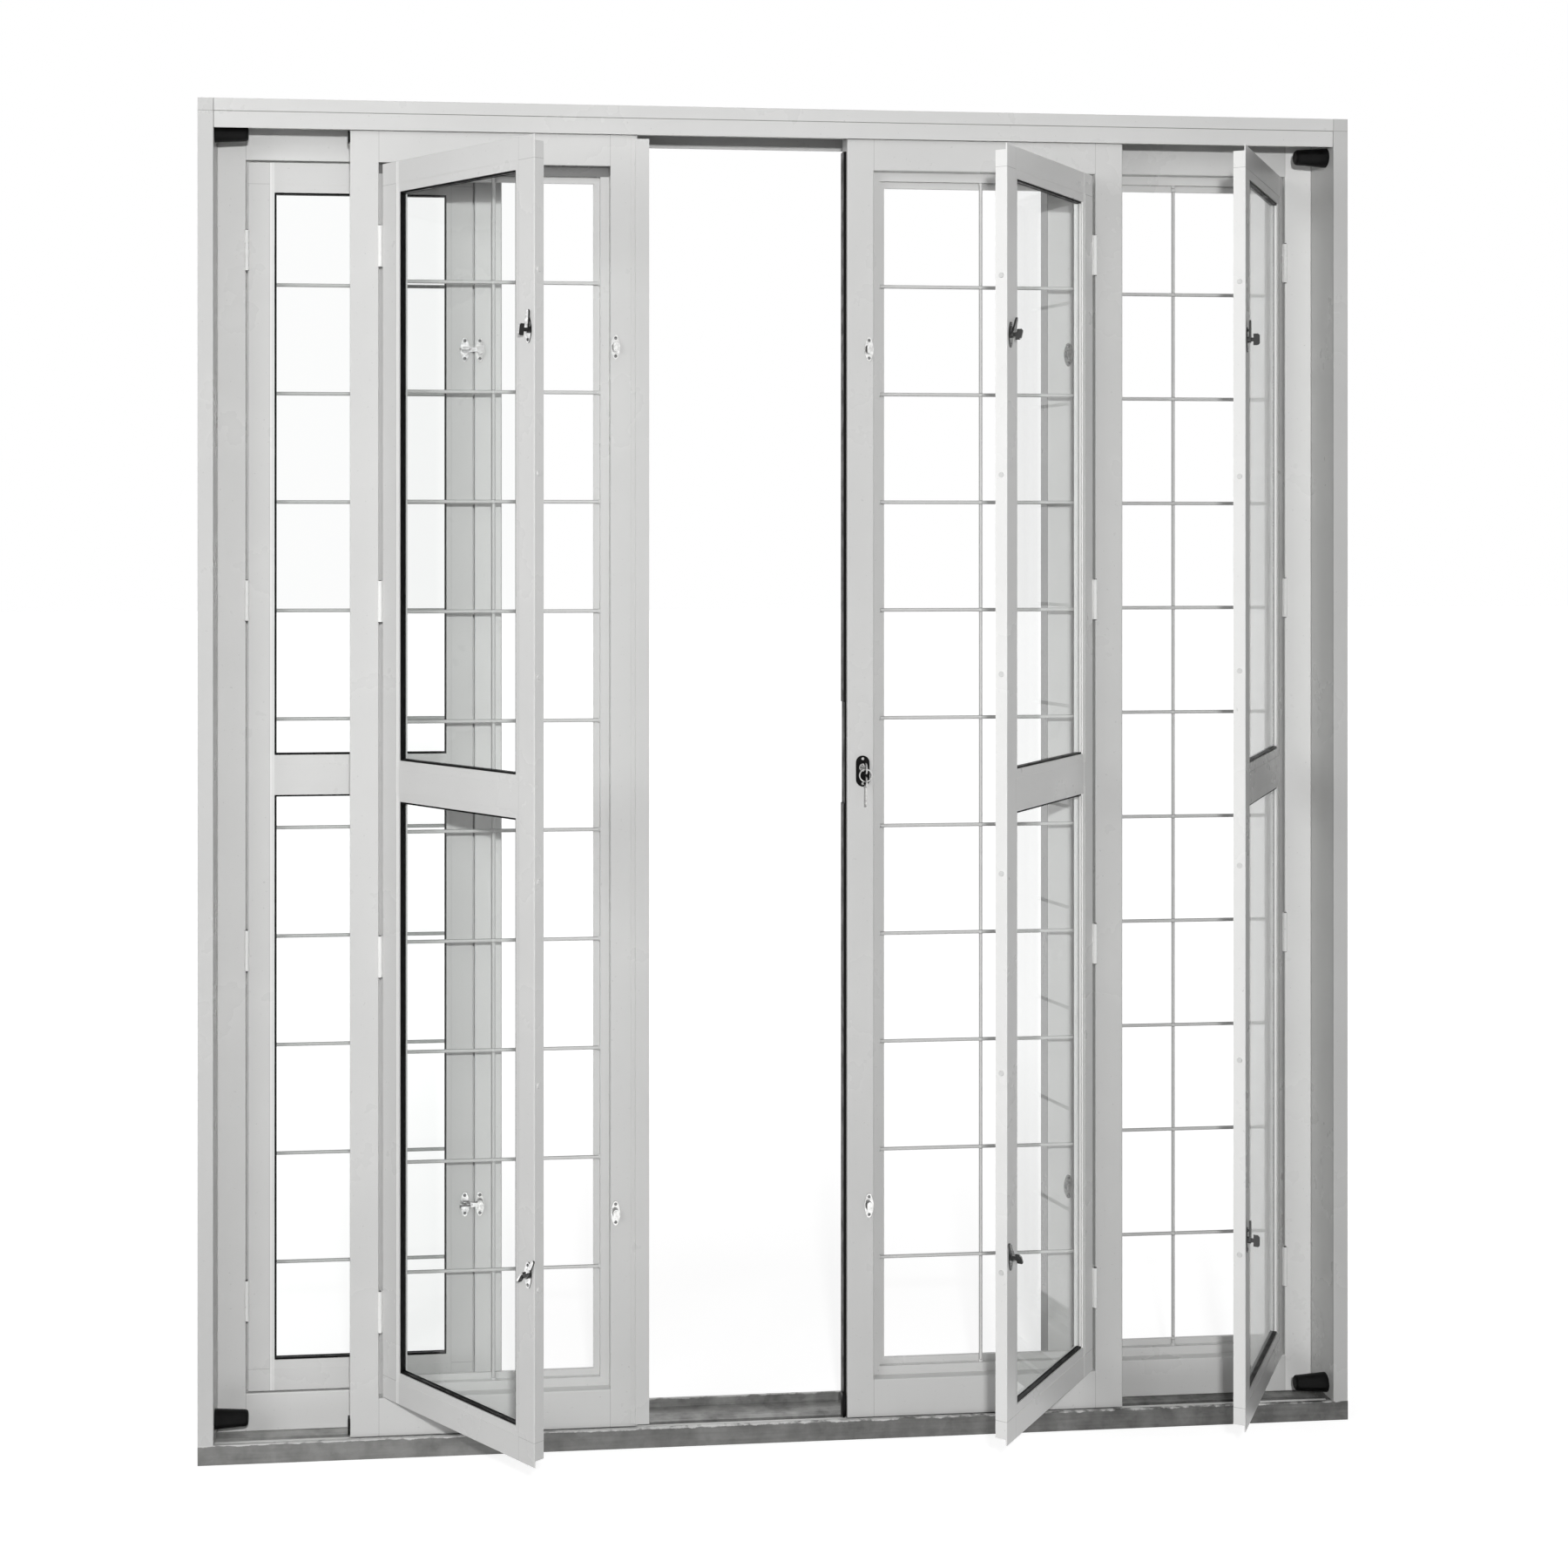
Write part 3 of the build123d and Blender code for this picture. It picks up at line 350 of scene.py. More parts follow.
def moulded(name, values, depth):
    return finish_material(name, rubber_group, values, depth, Specular_IOR_Level=RUBBER_SHINE)


def plain_moulded(name, colour, bloom, grain, depth):
    values = {"Black": (*colour, 1), "Bloom": (*bloom, 1), "Grain": grain}
    return moulded(name, lambda tree: values, depth)


rubber = plain_moulded("black_rubber", BUMPER_BLACK, BUMPER_BLOOM, 900.0, 0.0002)
gasket_rubber = plain_moulded("gasket_rubber", GASKET_BLACK, GASKET_BLOOM, GASKET_GRAIN, 0.0001)
for name in ("left_bumpers", "right_bumpers", "right_slider_meeting_seal"):
    dress(name, rubber)

# Leaves. Each leaf frame is welded from pressed stiles that run full height and rails that butt
# between them, so hair lines run up and down from the corners of the window's opening.
LEAF_WIDE = 0.460
HINGE_STILE = 0.046
LOCK_STILE = 0.044
BOTTOM_TO_OPENING = 0.061
OPENING_TO_TOP = 0.063
LEDGE = 0.014
PIVOT_PROUD = 0.0035
PIVOT_INSET = 0.0015
SEAM_HALF = 0.0005
SEAM_DARK = 0.5
# The leaf levels and the hinge stile's level are painted light and shade.
LEAF_LEVELS = {"left_fixed": 1.12, "left_slider": 1.0, "right_slider": 0.98, "right_fixed": 1.03}
PAINTED_SHADE_LEVEL = 0.30
SHADED_EDGE_WIDE = 0.0006
LIT_HINGE_STILE_LEVEL = 1.32

leaves = {}
for name, left, face, low, high, hand, degrees in (
    ("left_fixed", -0.915, 0.0225, 0.017, 2.130, 1, 0.0),
    ("left_slider", -0.702, -0.0495, 0.0295, 2.1175, 1, 53.0),
    ("right_slider", 0.101, -0.0495, 0.0295, 2.1175, -1, 51.0),
    ("right_fixed", 0.455, 0.0225, 0.017, 2.130, -1, 58.0),
):
    hinge_x = left + (HINGE_STILE if hand > 0 else LEAF_WIDE - HINGE_STILE)
    turn = math.radians(degrees)
    outward = Vector((-hand * math.sin(turn), -math.cos(turn), 0))
    pivot = Vector((hinge_x + hand * PIVOT_INSET, face - PIVOT_PROUD, 0))
    leaves[name] = {
        "body": "frame" if "fixed" in name else name.replace("slider", "sliding_leaf"),
        "hand": hand,
        "face": face,
        "free_edge": left + LEAF_WIDE if hand > 0 else left,
        "hinge_x": hinge_x,
        "lock_x": left + (LEAF_WIDE - LOCK_STILE if hand > 0 else LOCK_STILE),
        "low": low + BOTTOM_TO_OPENING,
        "high": high - OPENING_TO_TOP,
        "pivot": pivot,
        "way": hand * Vector((math.cos(turn), -hand * math.sin(turn), 0)),
        "outward": outward,
        "origin": pivot - PIVOT_PROUD * outward,
    }


def leaf_seams(leaf):
    """Hair lines where the rails butt against the stiles, above and below the opening."""

    def mask(tree):
        x, _, z = axes(tree)
        at_hinge = stripe(tree, x, leaf["hinge_x"], SEAM_HALF)
        at_lock = stripe(tree, x, leaf["lock_x"], SEAM_HALF)
        above = calc(tree, "GREATER_THAN", z, leaf["high"])
        beyond = calc(tree, "ADD", above, calc(tree, "LESS_THAN", z, leaf["low"]))
        return times(tree, calc(tree, "MAXIMUM", at_hinge, at_lock), beyond, SEAM_DARK)

    return mask


def off_free_edge(tree, leaf):
    return calc(tree, "ABSOLUTE", calc(tree, "SUBTRACT", axes(tree)[0], leaf["free_edge"]))


def shaded_free_edge(tree, leaf):
    """A fixed leaf's free edge behind the slider, dark in the photo, darkened here as painted
    shade.
    """
    return spread(tree, off_free_edge(tree, leaf), SHADED_EDGE_WIDE * 2, SHADED_EDGE_WIDE)


def window_shadow_corner(tree, leaf):
    """The corner under the left slider's top rail, dark in the photo, darkened here as the painted
    shadow of the open window's top rail.
    """
    _, y, z = axes(tree)
    behind = calc(tree, "GREATER_THAN", y, leaf["face"] + 0.001)
    above = calc(tree, "GREATER_THAN", z, leaf["high"] - LEDGE - 0.0005)
    under = calc(tree, "LESS_THAN", z, leaf["high"] + 0.0005)
    return times(tree, behind, above, under)


def leaf_enamel(name, leaf, shaded_place):
    """A leaf's enamel at its level of painted light, with its place of painted shade. The right
    fixed leaf's hinge stile is the lightest in the photo, and it is made lighter as painted light."""
    level = LEAF_LEVELS[name]
    lit_hinge_level = LIT_HINGE_STILE_LEVEL if name == "right_fixed" else level

    def choose(tree):
        # The mask of the part's painted shade.
        bare_zinc_and_shadow_mask = shaded_place(tree, leaf)
        at_hinge = calc(tree, "GREATER_THAN", off_free_edge(tree, leaf), LEAF_WIDE - HINGE_STILE)

        def pick(colour):
            usual = tint(tree, at_hinge, tone(colour, level), tone(colour, lit_hinge_level))
            return tint(tree, bare_zinc_and_shadow_mask, usual, tone(colour, PAINTED_SHADE_LEVEL))

        return pick

    return painted(f"{name}_leaf_enamel", choose, leaf_seams(leaf))


for name, shaded_place in (
    ("left_fixed", shaded_free_edge),
    ("left_slider", window_shadow_corner),
    ("right_fixed", shaded_free_edge),
):
    dress(f"{name}_leaf_frame", leaf_enamel(name, leaves[name], shaded_place))
even_enamel = enamel(
    "right_slider_leaf_enamel", leaf_seams(leaves["right_slider"]), LEAF_LEVELS["right_slider"]
)
dress("right_slider_leaf_frame", even_enamel)
dress("left_slider_meeting_lip", plain_paint)

# Grilles. Six millimetre round rods, ten across and one upright, sit on the inner ledge and are
# welded where they cross and where they end, and every weld is left as a small round lump.
BAR_RADIUS = 0.003
BAR_COUNT = 10
BAR_MIDDLE = 1.075
BAR_PITCH = 0.17645
BAR_DEPTH = 0.027
BAR_SHADE = 0.62
WELD_RADIUS = 0.0042
CROSS_WELD_RADIUS = 0.0043
WELD_INSET = 0.0008


def rod_edge_shade(leaf):
    """Painted shade along both edges of each rod, where the light falls off round it."""

    def off_centre(tree, value, place):
        return calc(tree, "ABSOLUTE", calc(tree, "SUBTRACT", value, place))

    def edge(tree, off):
        return spread(tree, off, BAR_RADIUS * 0.52, BAR_RADIUS * 0.92)

    def mask(tree):
        x, _, z = axes(tree)
        rise = calc(tree, "SUBTRACT", z, BAR_MIDDLE - BAR_PITCH * BAR_COUNT)
        off_level = off_centre(tree, calc(tree, "MODULO", rise, BAR_PITCH), BAR_PITCH / 2)
        off_upright = off_centre(tree, x, (leaf["hinge_x"] + leaf["lock_x"]) / 2)
        on_level = calc(tree, "LESS_THAN", off_level, BAR_RADIUS * 1.2)
        off_it = calc(tree, "SUBTRACT", 1.0, on_level)
        level_rods = times(tree, edge(tree, off_level), on_level)
        upright_rod = times(tree, edge(tree, off_upright), off_it)
        return times(tree, calc(tree, "ADD", level_rods, upright_rod), BAR_SHADE)

    return mask


for name, leaf in leaves.items():
    dress(f"{name}_grille", enamel(f"{name}_grille_enamel", rod_edge_shade(leaf)))
    inward = leaf["hand"] * LEDGE
    left, right = sorted((leaf["hinge_x"] + inward, leaf["lock_x"] - inward))
    middle = (left + right) / 2
    bar_y = leaf["face"] + BAR_DEPTH
    welds = bmesh.new()
    for number in range(BAR_COUNT):
        z = BAR_MIDDLE + (number - (BAR_COUNT - 1) / 2) * BAR_PITCH
        for x in (left + WELD_INSET, right - WELD_INSET):
            bead(welds, (x, bar_y, z), WELD_RADIUS, (0.75, 1.0, 1.05))
        bead(welds, (middle, bar_y, z), CROSS_WELD_RADIUS, (1.0, 0.86, 0.92))
    for z in (leaf["low"] + LEDGE + WELD_INSET, leaf["high"] - LEDGE - WELD_INSET):
        bead(welds, (middle, bar_y, z), WELD_RADIUS, (1.05, 1.0, 0.75))
    finished(f"{name}_grille_welds", welds, leaf["body"], plain_paint, 60)

# Windows. Each window frame has rails that run across under the stiles, and flat beads round the
# panes. Seam lines show where the parts butt, and the beads meet the frame in a fine dark line.
# On the right-hand windows the hinge-side gasket carries a painted highlight in the enamel's tone,
# but for a thin line.
WINDOW_STILE = 0.035
WINDOW_EDGE = 0.0015
WINDOW_WIDE = 0.364
WINDOW_GAP = 0.003
BOTTOM_RAIL = 0.036
TOP_RAIL = 0.035
SIDE_BEAD = 0.00775
PANE_DEPTH = 0.008
BEAD_SEAM_HALF = 0.00045
BEAD_SEAM_DARK = 0.30
# The window levels and the edge and bead levels are painted light and shade.
WINDOW_LEVELS = {"left_fixed": 1.02, "left_slider": 1.00, "right_slider": 1.25, "right_fixed": 0.66}
EDGE_LEVEL = 1.22
EDGE_SKIN = 0.0004
BEAD_LEVEL = 1.16
BEAD_HIGHLIGHT = 1.36
BEAD_LINE = 0.0011
GASKET_HIGHLIGHT_LEVEL = 1.2
GASKET_HIGHLIGHT_WIDE = 0.0035
GASKET_LINE = 0.0006


def reach(tree, leaf, direction):
    """How far a point lies from the window's hinge corner along its width or its outward side."""
    dot = {0: on_object(tree), 1: leaf[direction]}
    along = put(tree, "ShaderNodeVectorMath", dot, operation="DOT_PRODUCT")["Value"]
    return calc(tree, "SUBTRACT", along, leaf[direction].dot(leaf["origin"]))


def across_window(tree, leaf, start):
    return calc(tree, "SUBTRACT", reach(tree, leaf, "way"), WINDOW_EDGE + start)


def window_seams(leaf):
    """Hair lines where rails butt against stiles, and where the beads meet the stiles."""

    def mask(tree):
        z = axes(tree)[2]
        off_middle = calc(tree, "ABSOLUTE", across_window(tree, leaf, WINDOW_WIDE / 2))
        stile_at = WINDOW_WIDE / 2 - WINDOW_STILE
        low_joint = stripe(tree, z, leaf["low"] + WINDOW_GAP + BOTTOM_RAIL, SEAM_HALF)
        high_joint = stripe(tree, z, leaf["high"] - WINDOW_GAP - TOP_RAIL, SEAM_HALF)
        rails = calc(tree, "MAXIMUM", low_joint, high_joint)
        on_stile = calc(tree, "GREATER_THAN", off_middle, stile_at)
        butts = times(tree, rails, on_stile, SEAM_DARK)
        beads = times(tree, stripe(tree, off_middle, stile_at, BEAD_SEAM_HALF), BEAD_SEAM_DARK)
        return calc(tree, "ADD", butts, beads)

    return mask


def window_enamel(name, leaf):
    """A window's enamel at its level of painted light and shade, lighter on the bead at its hinge
    side as painted light, with a painted highlight line along it. On the right-hand windows the
    free edge is lighter too, as painted light."""
    level = WINDOW_LEVELS[name]
    edge_level = max(EDGE_LEVEL, level) if leaf["hand"] < 0 else level

    def choose(tree):
        along = across_window(tree, leaf, WINDOW_STILE)
        past_stile = calc(tree, "GREATER_THAN", along, 0.0)
        on_bead = times(tree, past_stile, calc(tree, "LESS_THAN", along, SIDE_BEAD))
        highlight_line = stripe(tree, along, 1.8 * BEAD_LINE, BEAD_LINE)
        on_edge = calc(tree, "GREATER_THAN", along, WINDOW_WIDE - WINDOW_STILE - EDGE_SKIN)

        def pick(colour):
            made = tint(tree, on_bead, tone(colour, level), tone(colour, level * BEAD_LEVEL))
            made = tint(tree, highlight_line, made, tone(colour, min(level, 1.0) * BEAD_HIGHLIGHT))
            return tint(tree, on_edge, made, tone(colour, edge_level))

        return pick

    return painted(f"{name}_window_enamel", choose, window_seams(leaf))


# A gasket with a painted highlight along its hinge side, but for a thin dark line.
def highlighted_gasket(name, leaf):
    def values(tree):
        along = across_window(tree, leaf, WINDOW_STILE + SIDE_BEAD)
        depth = times(tree, reach(tree, leaf, "outward"), -1.0)
        line = stripe(tree, depth, PANE_DEPTH - GASKET_LINE, GASKET_LINE)
        at_hinge = calc(tree, "LESS_THAN", along, GASKET_HIGHLIGHT_WIDE)
        highlighted_part = times(tree, at_hinge, calc(tree, "SUBTRACT", 1.0, line))
        light = tone(ENAMEL, GASKET_HIGHLIGHT_LEVEL)
        black = tint(tree, highlighted_part, (*GASKET_BLACK, 1), light)
        bloom = tint(tree, highlighted_part, (*GASKET_BLOOM, 1), light)
        return {"Black": black, "Bloom": bloom, "Grain": GASKET_GRAIN}

    return moulded(f"{name}_gasket_rubber", values, 0.0001)


for name, leaf in leaves.items():
    dress(f"{name}_window_frame", window_enamel(name, leaf))
    gasket = gasket_rubber if leaf["hand"] > 0 else highlighted_gasket(name, leaf)
    dress(f"{name}_glazing_gaskets", gasket)

# Edge plugs. Round plugs close the screw holes in the free edge of each open window, six to an
# edge. They stand a little proud and are sprayed over with the frame.
PLUG_RADIUS = 0.0042
PLUG_PROUD = 0.0016
PLUG_TAPER = 0.12
PLUG_HEIGHTS = (0.353, 0.653, 0.953, 1.253, 1.553, 1.853)
WINDOW_THICK = 0.0185

for name in ("left_slider", "right_slider", "right_fixed"):
    leaf = leaves[name]
    way = leaf["way"]
    turned = way.to_track_quat("Z", "Y").to_matrix().to_4x4()
    edge = leaf["origin"] + (WINDOW_EDGE + WINDOW_WIDE) * way - WINDOW_THICK / 2 * leaf["outward"]
    plugs = bmesh.new()
    for z in PLUG_HEIGHTS:
        place = Vector((edge.x, edge.y, z))
        matrix = Matrix.Translation(place) @ turned
        ring = bmesh.ops.create_circle(
            plugs, cap_ends=True, segments=24, radius=PLUG_RADIUS, matrix=matrix
        )
        disc = [f for f in plugs.faces if all(v in ring["verts"] for v in f.verts)]
        raised = bmesh.ops.extrude_face_region(plugs, geom=disc)
        top = [e for e in raised["geom"] if isinstance(e, bmesh.types.BMVert)]
        bmesh.ops.translate(plugs, verts=top, vec=way * PLUG_PROUD)
        for vert in top:
            vert.co = vert.co.lerp(place + way * PLUG_PROUD, PLUG_TAPER)
    finished(f"{name}_edge_plugs", plugs, leaf["body"], plain_paint, 40)

# Glass. Four millimetre clear panes, faintly smeared, and held by the gaskets. Their index is below
# real glass's, which keeps reflections faint. The right fixed window's panes, nearly edge-on in the
# photo, look greyer: they are made less clear, as a painted reflection.
GLASS_TINT = (0.970, 0.976, 0.973, 1)
GLASS_SHADOW = (0.93, 0.94, 0.935, 1)
GLASS_IOR = 1.25
SMEAR_SCALE = (9.0, 9.0, 4.0)
SMEAR_ROUGHNESS = 0.012
GREYED_CLEARNESS = 0.78

glass = bpy.data.materials.new("clear_glass")
glass.use_nodes = True
tree = glass.node_tree
pane = tree.nodes["Principled BSDF"]
pane.inputs["Base Color"].default_value = GLASS_TINT
pane.inputs["Transmission Weight"].default_value = 1.0
pane.inputs["IOR"].default_value = GLASS_IOR
smears = noise(tree, on_object(tree), SMEAR_SCALE, 5.0)
smeared = spread(tree, smears, 0.45, 0.75, 0.0, SMEAR_ROUGHNESS)
tree.links.new(smeared, pane.inputs["Roughness"])
clear = put(tree, "ShaderNodeBsdfTransparent", {"Color": GLASS_SHADOW})[0]
shadow = put(tree, "ShaderNodeLightPath", {})["Is Shadow Ray"]
mixed = put(tree, "ShaderNodeMixShader", {0: shadow, 1: pane.outputs[0], 2: clear})[0]
tree.links.new(mixed, tree.nodes["Material Output"].inputs["Surface"])
greyed_glass = glass.copy()
greyed_glass.name = "greyed_glass"
greyed_pane = greyed_glass.node_tree.nodes["Principled BSDF"]
greyed_pane.inputs["Transmission Weight"].default_value = GREYED_CLEARNESS
for name in leaves:
    dress(f"{name}_glass", greyed_glass if name == "right_fixed" else glass)

# Hinges. Butt hinges with rolled knuckles, sprayed with the frame, and the ends of their loose
# pins left bare, so each knuckle has a small dark dot at its top and bottom.
HINGE_HEIGHTS = (0.229, 0.793, 1.357, 1.921)
HINGE_LONG = 0.065
# The knuckles' enamel is made lighter than the frame's as painted light.
HINGE_LIGHT_LEVEL = 1.36
PIN_RADIUS = 0.0022
PIN_PROUD = 0.0012
WEAR_AND_REFLECTION_SCALE = 160.0
PITTING_SCALE = 420.0

chrome_group, taken, given = start_group(
    "worn_chrome_with_painted_reflection", {"Bright": "Color", "Dull": "Color", "Side": "Color", "Out": "Vector"}
)
where = on_object(chrome_group)
wear_and_reflection = spread(chrome_group, noise(chrome_group, where, WEAR_AND_REFLECTION_SCALE, 5.0), 0.38, 0.72)
normal = put(chrome_group, "ShaderNodeTexCoord", {})["Normal"]
against = {0: normal, 1: taken["Out"]}
facing = put(chrome_group, "ShaderNodeVectorMath", against, operation="DOT_PRODUCT")["Value"]
# Faces turned away from out take the side tone, a painted shade.
face = spread(chrome_group, calc(chrome_group, "ABSOLUTE", facing), 0.35, 0.8)
plated = tint(chrome_group, wear_and_reflection, taken["Bright"], taken["Dull"])
chrome_group.links.new(tint(chrome_group, face, taken["Side"], plated), given["Color"])
chrome_group.links.new(spread(chrome_group, wear_and_reflection, 0.0, 1.0, 0.10, 0.30), given["Roughness"])
chrome_group.links.new(noise(chrome_group, where, PITTING_SCALE, 3.0), given["Height"])


def metal(name, bright, dull, side=None, out=(0, -1, 0)):
    """Plated metal: bright faces that look along out, with dull patches that are partly wear and
    partly painted reflection, and side walls darkened as painted shade.
    """
    values = {"Bright": (*bright, 1), "Dull": (*dull, 1), "Side": (*(side or dull), 1), "Out": out}
    return finish_material(name, chrome_group, lambda tree: values, 0.0003, Metallic=1.0)


pin_steel = metal("bare_pins", (0.20, 0.20, 0.20), (0.09, 0.09, 0.09))
hinge_paint = enamel("hinge_enamel", level=HINGE_LIGHT_LEVEL)
for name, leaf in leaves.items():
    dress(f"{name}_hinges", hinge_paint)
    pins = bmesh.new()
    for middle in HINGE_HEIGHTS:
        for end in (-1, 1):
            z = middle + end * (HINGE_LONG + PIN_PROUD) / 2
            matrix = Matrix.Translation((leaf["pivot"].x, leaf["pivot"].y, z))
            bmesh.ops.create_cone(
                pins, cap_ends=True, segments=12, radius1=PIN_RADIUS, radius2=PIN_RADIUS,
                depth=PIN_PROUD, matrix=matrix,
            )
    finished(f"{name}_hinge_pins", pins, leaf["body"], pin_steel, 40)

# Catches and keepers. Chromed turn catches on the windows' free stiles and raised loops on the
# leaves, each on a plate with two slotted screws. How bright the catches are is fitted to the
# photo, apart for the left-hand and the right-hand leaves: their tones are painted reflection. The
# keepers' dark side walls are painted shade.
LEFT_CHROME = (0.95, 0.50, 0.03)
RIGHT_CHROME = (0.62, 0.20, 0.07)
SCREW_RADIUS = 0.0026
SCREW_DOME = 0.42
SCREW_OFFSET = 0.0145
SCREW_TURN = 0.7
SCREW_TURN_STEP = 1.9
SLOT_HALF = 0.00036
SLOT_TOP = 0.00054
SLOT_FLOOR = 0.25
SLIVER = 0.00004
PLATE_THICK = 0.0015
CATCH_HEIGHTS = (0.374, 1.764)
CATCH_INSET = 0.013
KEEPER_INSET = 0.0085
FRONT = Vector((0, -1, 0))


def slotted_head(made, place, out, turn):
    """A low domed screw head with its slot cut, on a face that looks along out."""
    head = bmesh.new()
    bmesh.ops.create_uvsphere(head, u_segments=16, v_segments=8, radius=SCREW_RADIUS)
    bmesh.ops.scale(head, vec=(1, 1, SCREW_DOME), verts=head.verts[:])

    def cut(point, normal, clear=False):
        everything = head.verts[:] + head.edges[:] + head.faces[:]
        bmesh.ops.bisect_plane(
            head, geom=everything, plane_co=point, plane_no=normal, clear_outer=clear
        )

    cut((0, 0, 0), (0, 0, -1), clear=True)
    bmesh.ops.holes_fill(head, edges=[e for e in head.edges if e.is_boundary])
    for x in (-SLOT_TOP, -SLOT_HALF, SLOT_HALF, SLOT_TOP):
        cut((x, 0, 0), (1, 0, 0))
    for vert in head.verts:
        if abs(vert.co.x) < SLOT_HALF * 1.01:
            vert.co.z *= SLOT_FLOOR
    bmesh.ops.remove_doubles(head, verts=head.verts[:], dist=SLIVER)
    turned = out.to_track_quat("Z", "Y").to_matrix().to_4x4() @ Matrix.Rotation(turn, 4, "Z")
    bmesh.ops.transform(head, matrix=Matrix.Translation(place) @ turned, verts=head.verts[:])
    mesh = bpy.data.meshes.new("screw_part")
    head.to_mesh(mesh)
    head.free()
    made.from_mesh(mesh)
    bpy.data.meshes.remove(mesh)


screw_steel = metal("screw_heads", (0.30, 0.30, 0.30), (0.13, 0.13, 0.13))
keeper_chrome = metal("keeper_chrome", (0.90, 0.90, 0.89), (0.62, 0.62, 0.61), (0.16, 0.16, 0.16))
for name, leaf in leaves.items():
    outward = leaf["outward"]
    bright, dull, side = ((c,) * 3 for c in (LEFT_CHROME if leaf["hand"] > 0 else RIGHT_CHROME))
    catch_chrome = metal(f"{name}_catch_chrome", bright, dull, side, tuple(outward))
    dress(f"{name}_catches", catch_chrome)
    dress(f"{name}_keepers", keeper_chrome)
    catch = leaf["origin"] + (WINDOW_EDGE + WINDOW_WIDE - CATCH_INSET) * leaf["way"]
    catch = catch + PLATE_THICK * outward
    keeper_x = leaf["lock_x"] + leaf["hand"] * KEEPER_INSET
    keeper = Vector((keeper_x, leaf["face"] - PLATE_THICK, 0))
    screws = bmesh.new()
    for z in CATCH_HEIGHTS:
        for place, out in ((catch, outward), (keeper, FRONT)):
            for end in (-1, 1):
                screw = Vector((place.x, place.y, z + end * SCREW_OFFSET))
                slotted_head(screws, screw, out, SCREW_TURN + SCREW_TURN_STEP * end + z)
    finished(f"{name}_plate_screws", screws, leaf["body"], screw_steel, 40)

# Lock. A black plastic escutcheon with two screws round a chromed cylinder with its keyway, and
# the same black on the faceplate in the meeting edge. Two plain keys hang on a split ring.
LOCK_X = 0.126
LOCK_Z = 1.0795
LOCK_FACE = -0.0525
LOCK_SCREW_OFFSET = 0.020
CYLINDER_Z = 1.0855
RIM_RADIUS = 0.0056
RIM_THICK = 0.0009
RIM_FRONT = -0.0531

chrome = metal("chrome_plate", (0.66, 0.66, 0.65), (0.34, 0.34, 0.335))
plastic = plain_moulded("black_plastic", (0.003,) * 3, (0.008,) * 3, 500.0, 0.0001)
for name in ("lock_escutcheon", "lock_faceplate"):
    dress(name, plastic)
for name in ("lock_cylinder", "lock_keys"):
    dress(name, chrome)
screws = bmesh.new()
for end in (-1, 1):
    screw = Vector((LOCK_X, LOCK_FACE, LOCK_Z + end * LOCK_SCREW_OFFSET))
    slotted_head(screws, screw, FRONT, 0.4 + end)
finished("lock_screws", screws, "right_sliding_leaf", chrome, 40)
rim = bmesh.new()
section = Matrix.Translation((LOCK_X + RIM_RADIUS, RIM_FRONT, CYLINDER_Z))
bmesh.ops.create_circle(rim, segments=10, radius=RIM_THICK, matrix=section)
bmesh.ops.spin(
    rim, geom=rim.edges[:], cent=(LOCK_X, LOCK_FACE, CYLINDER_Z), axis=(0, 1, 0), angle=math.tau,
    steps=32, use_merge=True,
)
bmesh.ops.remove_doubles(rim, verts=rim.verts[:], dist=1e-6)
finished("lock_cylinder_rim", rim, "right_sliding_leaf", chrome, 60)

# Rollers. Each sliding leaf runs on turned natural nylon rollers in pockets in its bottom rail,
# which have a faint grain.
nylon = plain_moulded("natural_nylon", (0.60, 0.58, 0.52), (0.50, 0.48, 0.43), 300.0, 0.0002)
for name in ("left_slider", "right_slider"):
    dress(f"{name}_rollers", nylon)

# End stops. Small black rubber pads: two on the left slider's outer edge, which meet the jamb's
# bumpers, and one at the foot of the right slider's meeting edge, beside its seal.
STOP_WIDE = 0.0036
STOP_SUNK = 0.0006
STOP_DEPTH = 0.016
STOP_Y = -0.0420
STOP_BEVEL = 0.0008

for name, body, edge_x, low, high in (
    ("left_slider_top_stop", "left_sliding_leaf", -0.702, 2.086, 2.104),
    ("left_slider_low_stop", "left_sliding_leaf", -0.702, 0.034, 0.060),
    ("right_slider_low_stop", "right_sliding_leaf", 0.0965, 0.031, 0.068),
):
    pad = bmesh.new()
    bmesh.ops.create_cube(pad, size=1.0)
    bmesh.ops.scale(pad, vec=(STOP_WIDE, STOP_DEPTH, high - low), verts=pad.verts[:])
    bmesh.ops.bevel(
        pad, geom=pad.edges[:], offset=STOP_BEVEL, segments=2, profile=0.5, affect="EDGES",
        material=-1,
    )
    centre = (edge_x + STOP_SUNK - STOP_WIDE / 2, STOP_Y, (low + high) / 2)
    bmesh.ops.translate(pad, vec=centre, verts=pad.verts[:])
    finished(name, pad, body, rubber, 40)

# Floor. A plain white studio floor. It shows as white to the camera and through the panes, and it
# keeps the door's shadow near the door.
FLOOR_HALF = 40.0
FLOOR_Z = -0.0006
NEAR_GLOW = 0.82


def seen_white(tree):
    """1 for rays that show a thing to the camera, and 0 for rays that light other surfaces."""
    path = put(tree, "ShaderNodeLightPath", {})
    seen = calc(tree, "MAXIMUM", path["Is Camera Ray"], path["Is Transmission Ray"])
    seen = calc(tree, "MAXIMUM", seen, path["Is Glossy Ray"])
    return times(tree, seen, calc(tree, "LESS_THAN", path["Diffuse Depth"], 0.5))


